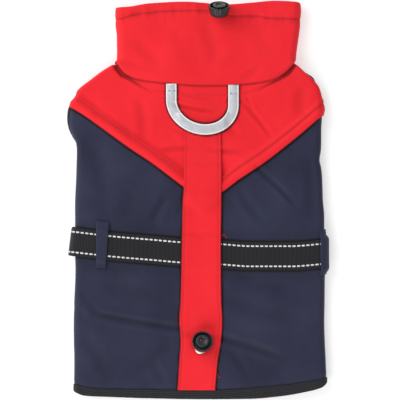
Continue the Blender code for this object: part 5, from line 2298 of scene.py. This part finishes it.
@dataclass(frozen=True)
class CordLock:
    """A cord lock: a knobbly cup with a sprung plunger in it."""

    label: str
    x: float
    y: float
    tilt: float
    shop: Workshop

    def frame(self) -> Matrix:
        """Where the lock stands, taken from its CAD barrel's own place."""
        low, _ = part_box("cord_lock_barrel_" + self.label)
        foot = 6.8 * MM * math.sin(self.tilt)
        place = Matrix.Translation((self.x, self.y, low.z + foot + 0.02 * MM))
        return place @ Matrix.Rotation(-self.tilt, 4, "X")

    @staticmethod
    def knobs(radius: Array, turn: Array, height: Array) -> tuple[Array, Array]:
        """The radius and height of the cup with small knobs round its rim."""
        near_rim = ramp(radius, 9.0 * MM, 9.7 * MM) * ramp(height, 3.5 * MM, 6.5 * MM)
        return radius - 0.45 * MM * near_rim * np.sin(turn * 9) ** 2, height

    @staticmethod
    def press_mark(radius: Array, turn: Array, height: Array) -> tuple[Array, Array]:
        """Sink a crescent slot into the plunger's face.

        Args:
            radius: of each point.
            turn: its angle round the axis.
            height: its height.

        Returns:
            The radius and the new height.
        """
        bearing = (turn - math.radians(100) + math.pi) % math.tau - math.pi
        crescent = bump_at(bearing, math.radians(110)) ** 0.5 * bump_at(radius - 2.9 * MM, 1.2 * MM)
        on_face = ramp(height, 9.6 * MM, 9.75 * MM)
        return radius, height - 0.9 * MM * crescent * on_face

    def build(self) -> None:
        """Make the barrel and the plunger."""
        material, face = self.shop.of(PLASTIC), self.shop.of(BUTTON)
        barrel = (
            (0.0, 1.4), (5.0, 1.4), (5.0, 5.8), (5.2, 6.0), (5.7, 6.05), (5.9, 5.8), (7.6, 5.8),
            (7.9, 6.1), (8.25, 8.6), (8.45, 9.5), (8.7, 9.85), (9.1, 10.0), (9.5, 9.9), (9.8, 9.55),
            (9.9, 9.1), (9.9, 8.0), (9.75, 6.6), (9.55, 5.4), (9.2, 3.8), (8.75, 2.4), (8.45, 1.6),
            (8.1, 0.9), (7.6, 0.4), (6.8, 0.0), (0.0, 0.0),
        )
        plunger = (
            (0.0, 9.75), (1.2, 9.77), (1.7, 9.81), (2.1, 9.87), (2.5, 9.95), (2.9, 10.06),
            (3.3, 10.20), (3.7, 10.36), (4.1, 10.50), (4.6, 10.60), (5.2, 10.58), (5.7, 10.44),
            (6.0, 10.2), (6.1, 9.8), (6.0, 9.5), (5.6, 9.35), (4.9, 9.3), (4.7, 9.1),
            (4.7, 4.9), (4.4, 4.7), (0.0, 4.7),
        )
        frame_here = self.frame()
        cup = turned_mesh(f"cord_lock_cup_{self.label}", barrel, 96, material, self.knobs)
        button = turned_mesh(f"cord_lock_button_{self.label}", plunger, 72, face, self.press_mark)
        for thing, node, hole_height in ((cup, "barrel", 3.7 * MM), (button, "plunger", 6.7 * MM)):
            self.bore(thing, hole_height)
            thing.matrix_world = frame_here
            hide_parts(f"cord_lock_{node}_{self.label}")
            log.info("cord_lock_%s_%s: %d faces", node, self.label, len(thing.data.polygons))
        settle(cup)
        settle(button, "plunger_" + self.label)

    @staticmethod
    def bore(thing: Thing, height: float) -> None:
        """Cut the cord's hole across a piece.

        Args:
            thing: the piece.
            height: of the hole's axis.
        """
        builder = bmesh.new()
        turn = Matrix.Translation((0, 0, height)) @ Matrix.Rotation(math.pi / 2, 4, "Y")
        radius, length = 1.9 * MM, 30 * MM
        bmesh.ops.create_cone(
            builder, cap_ends=True, segments=32, radius1=radius, radius2=radius, depth=length, matrix=turn
        )
        mesh = bpy.data.meshes.new("bore")
        builder.to_mesh(mesh)
        builder.free()
        cutter = bpy.data.objects.new("bore", mesh)
        bpy.context.scene.collection.objects.link(cutter)
        cut = thing.modifiers.new("bore", "BOOLEAN")
        cut.solver = "EXACT"
        cut.object = cutter
        graph = bpy.context.evaluated_depsgraph_get()
        thing.data = bpy.data.meshes.new_from_object(thing.evaluated_get(graph))
        thing.modifiers.clear()
        bpy.data.objects.remove(cutter)
        builder = bmesh.new()
        builder.from_mesh(thing.data)
        for edge in builder.edges:
            edge.smooth = not edge.is_manifold or edge.calc_face_angle(0) < math.radians(40)
        builder.to_mesh(thing.data)
        builder.free()


# ---------------- studio


@dataclass(frozen=True)
class Studio:
    """Pale floor, soft lights and the camera straight above."""

    lens: float = 150.0
    sensor: float = 36.0
    pixel: float = 0.94 * MM
    pixels: int = 400
    aim: tuple[float, float, float] = (2.07 * MM, 0.0, 7.0 * MM)

    def build(self) -> None:
        """Make the floor, the lights, the world and the camera."""
        scene = bpy.context.scene
        bpy.ops.mesh.primitive_plane_add(size=6, location=(0, 0, -0.25 * MM))
        floor = bpy.context.object
        floor.name = "floor"
        shader = Shader("floor")
        shader.constants(Base_Color=(0.62, 0.62, 0.62, 1), Roughness=0.9, Specular_IOR_Level=0.1)
        shader.constants(Emission_Color=(1, 1, 1, 1), Emission_Strength=0.5)
        floor.data.materials.append(shader.material)
        lights = [
            self.add_light("key", (-1.20, 0.95, 1.00), 1.5, 24.5),
            self.add_light("fill", (1.1, -0.5, 1.3), 1.4, 2.5),
            self.add_light("low", (-0.5, -1.15, 0.85), 1.0, 11.4),
        ]
        world = bpy.data.worlds.new("studio")
        world.use_nodes = True
        world.node_tree.nodes["Background"].inputs["Color"].default_value = (1, 1, 1, 1)
        world.node_tree.nodes["Background"].inputs["Strength"].default_value = 0.45
        scene.world = world
        scene.view_settings.view_transform = "Standard"
        camera = bpy.data.objects.new("camera", bpy.data.cameras.new("camera"))
        camera.data.lens = self.lens
        camera.data.sensor_width = self.sensor
        distance = self.pixel * self.pixels * self.lens / self.sensor
        camera.location = (self.aim[0], self.aim[1], self.aim[2] + distance)
        scene.collection.objects.link(camera)
        scene.camera = camera

    def add_light(self, name: str, place: tuple[float, float, float], size: float, power: float) -> Thing:
        """Add a square area light that looks at the coat.

        Args:
            name: the light's name.
            place: where it hangs, in metres.
            size: its side, in metres.
            power: in watts.

        Returns:
            The light.
        """
        data = bpy.data.lights.new(name, "AREA")
        data.shape = "SQUARE"
        data.size = size
        data.energy = power
        light = bpy.data.objects.new(name, data)
        light.location = place
        light.rotation_euler = (Vector(self.aim) - Vector(place)).to_track_quat("-Z", "Y").to_euler()
        bpy.context.scene.collection.objects.link(light)
        return light


def main() -> None:
    """Build the coat's looks and its studio."""
    logging.basicConfig(level=logging.INFO, format="%(name)s: %(message)s")
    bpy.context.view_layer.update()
    shop = Workshop(Effects.make())
    Shell(shop).build()
    collar = Collar(shop).build()
    HemBand(shop).build()
    Belt(shop).build()
    strip = CentreStrip(shop).build()
    ReflectiveLoop(shop).build()
    Eyelet("eyelet_strip", 2.6 * MM, -138.6 * MM).build(strip, shop)
    Eyelet("eyelet_collar", 16.6 * MM, 176.4 * MM).build(collar, shop)
    CordLock("strip", *STRIP_LOCK, math.radians(20), shop).build()
    CordLock("collar", *COLLAR_LOCK, math.radians(60), shop).build()
    Studio().build()


if __name__ == "__main__":
    main()
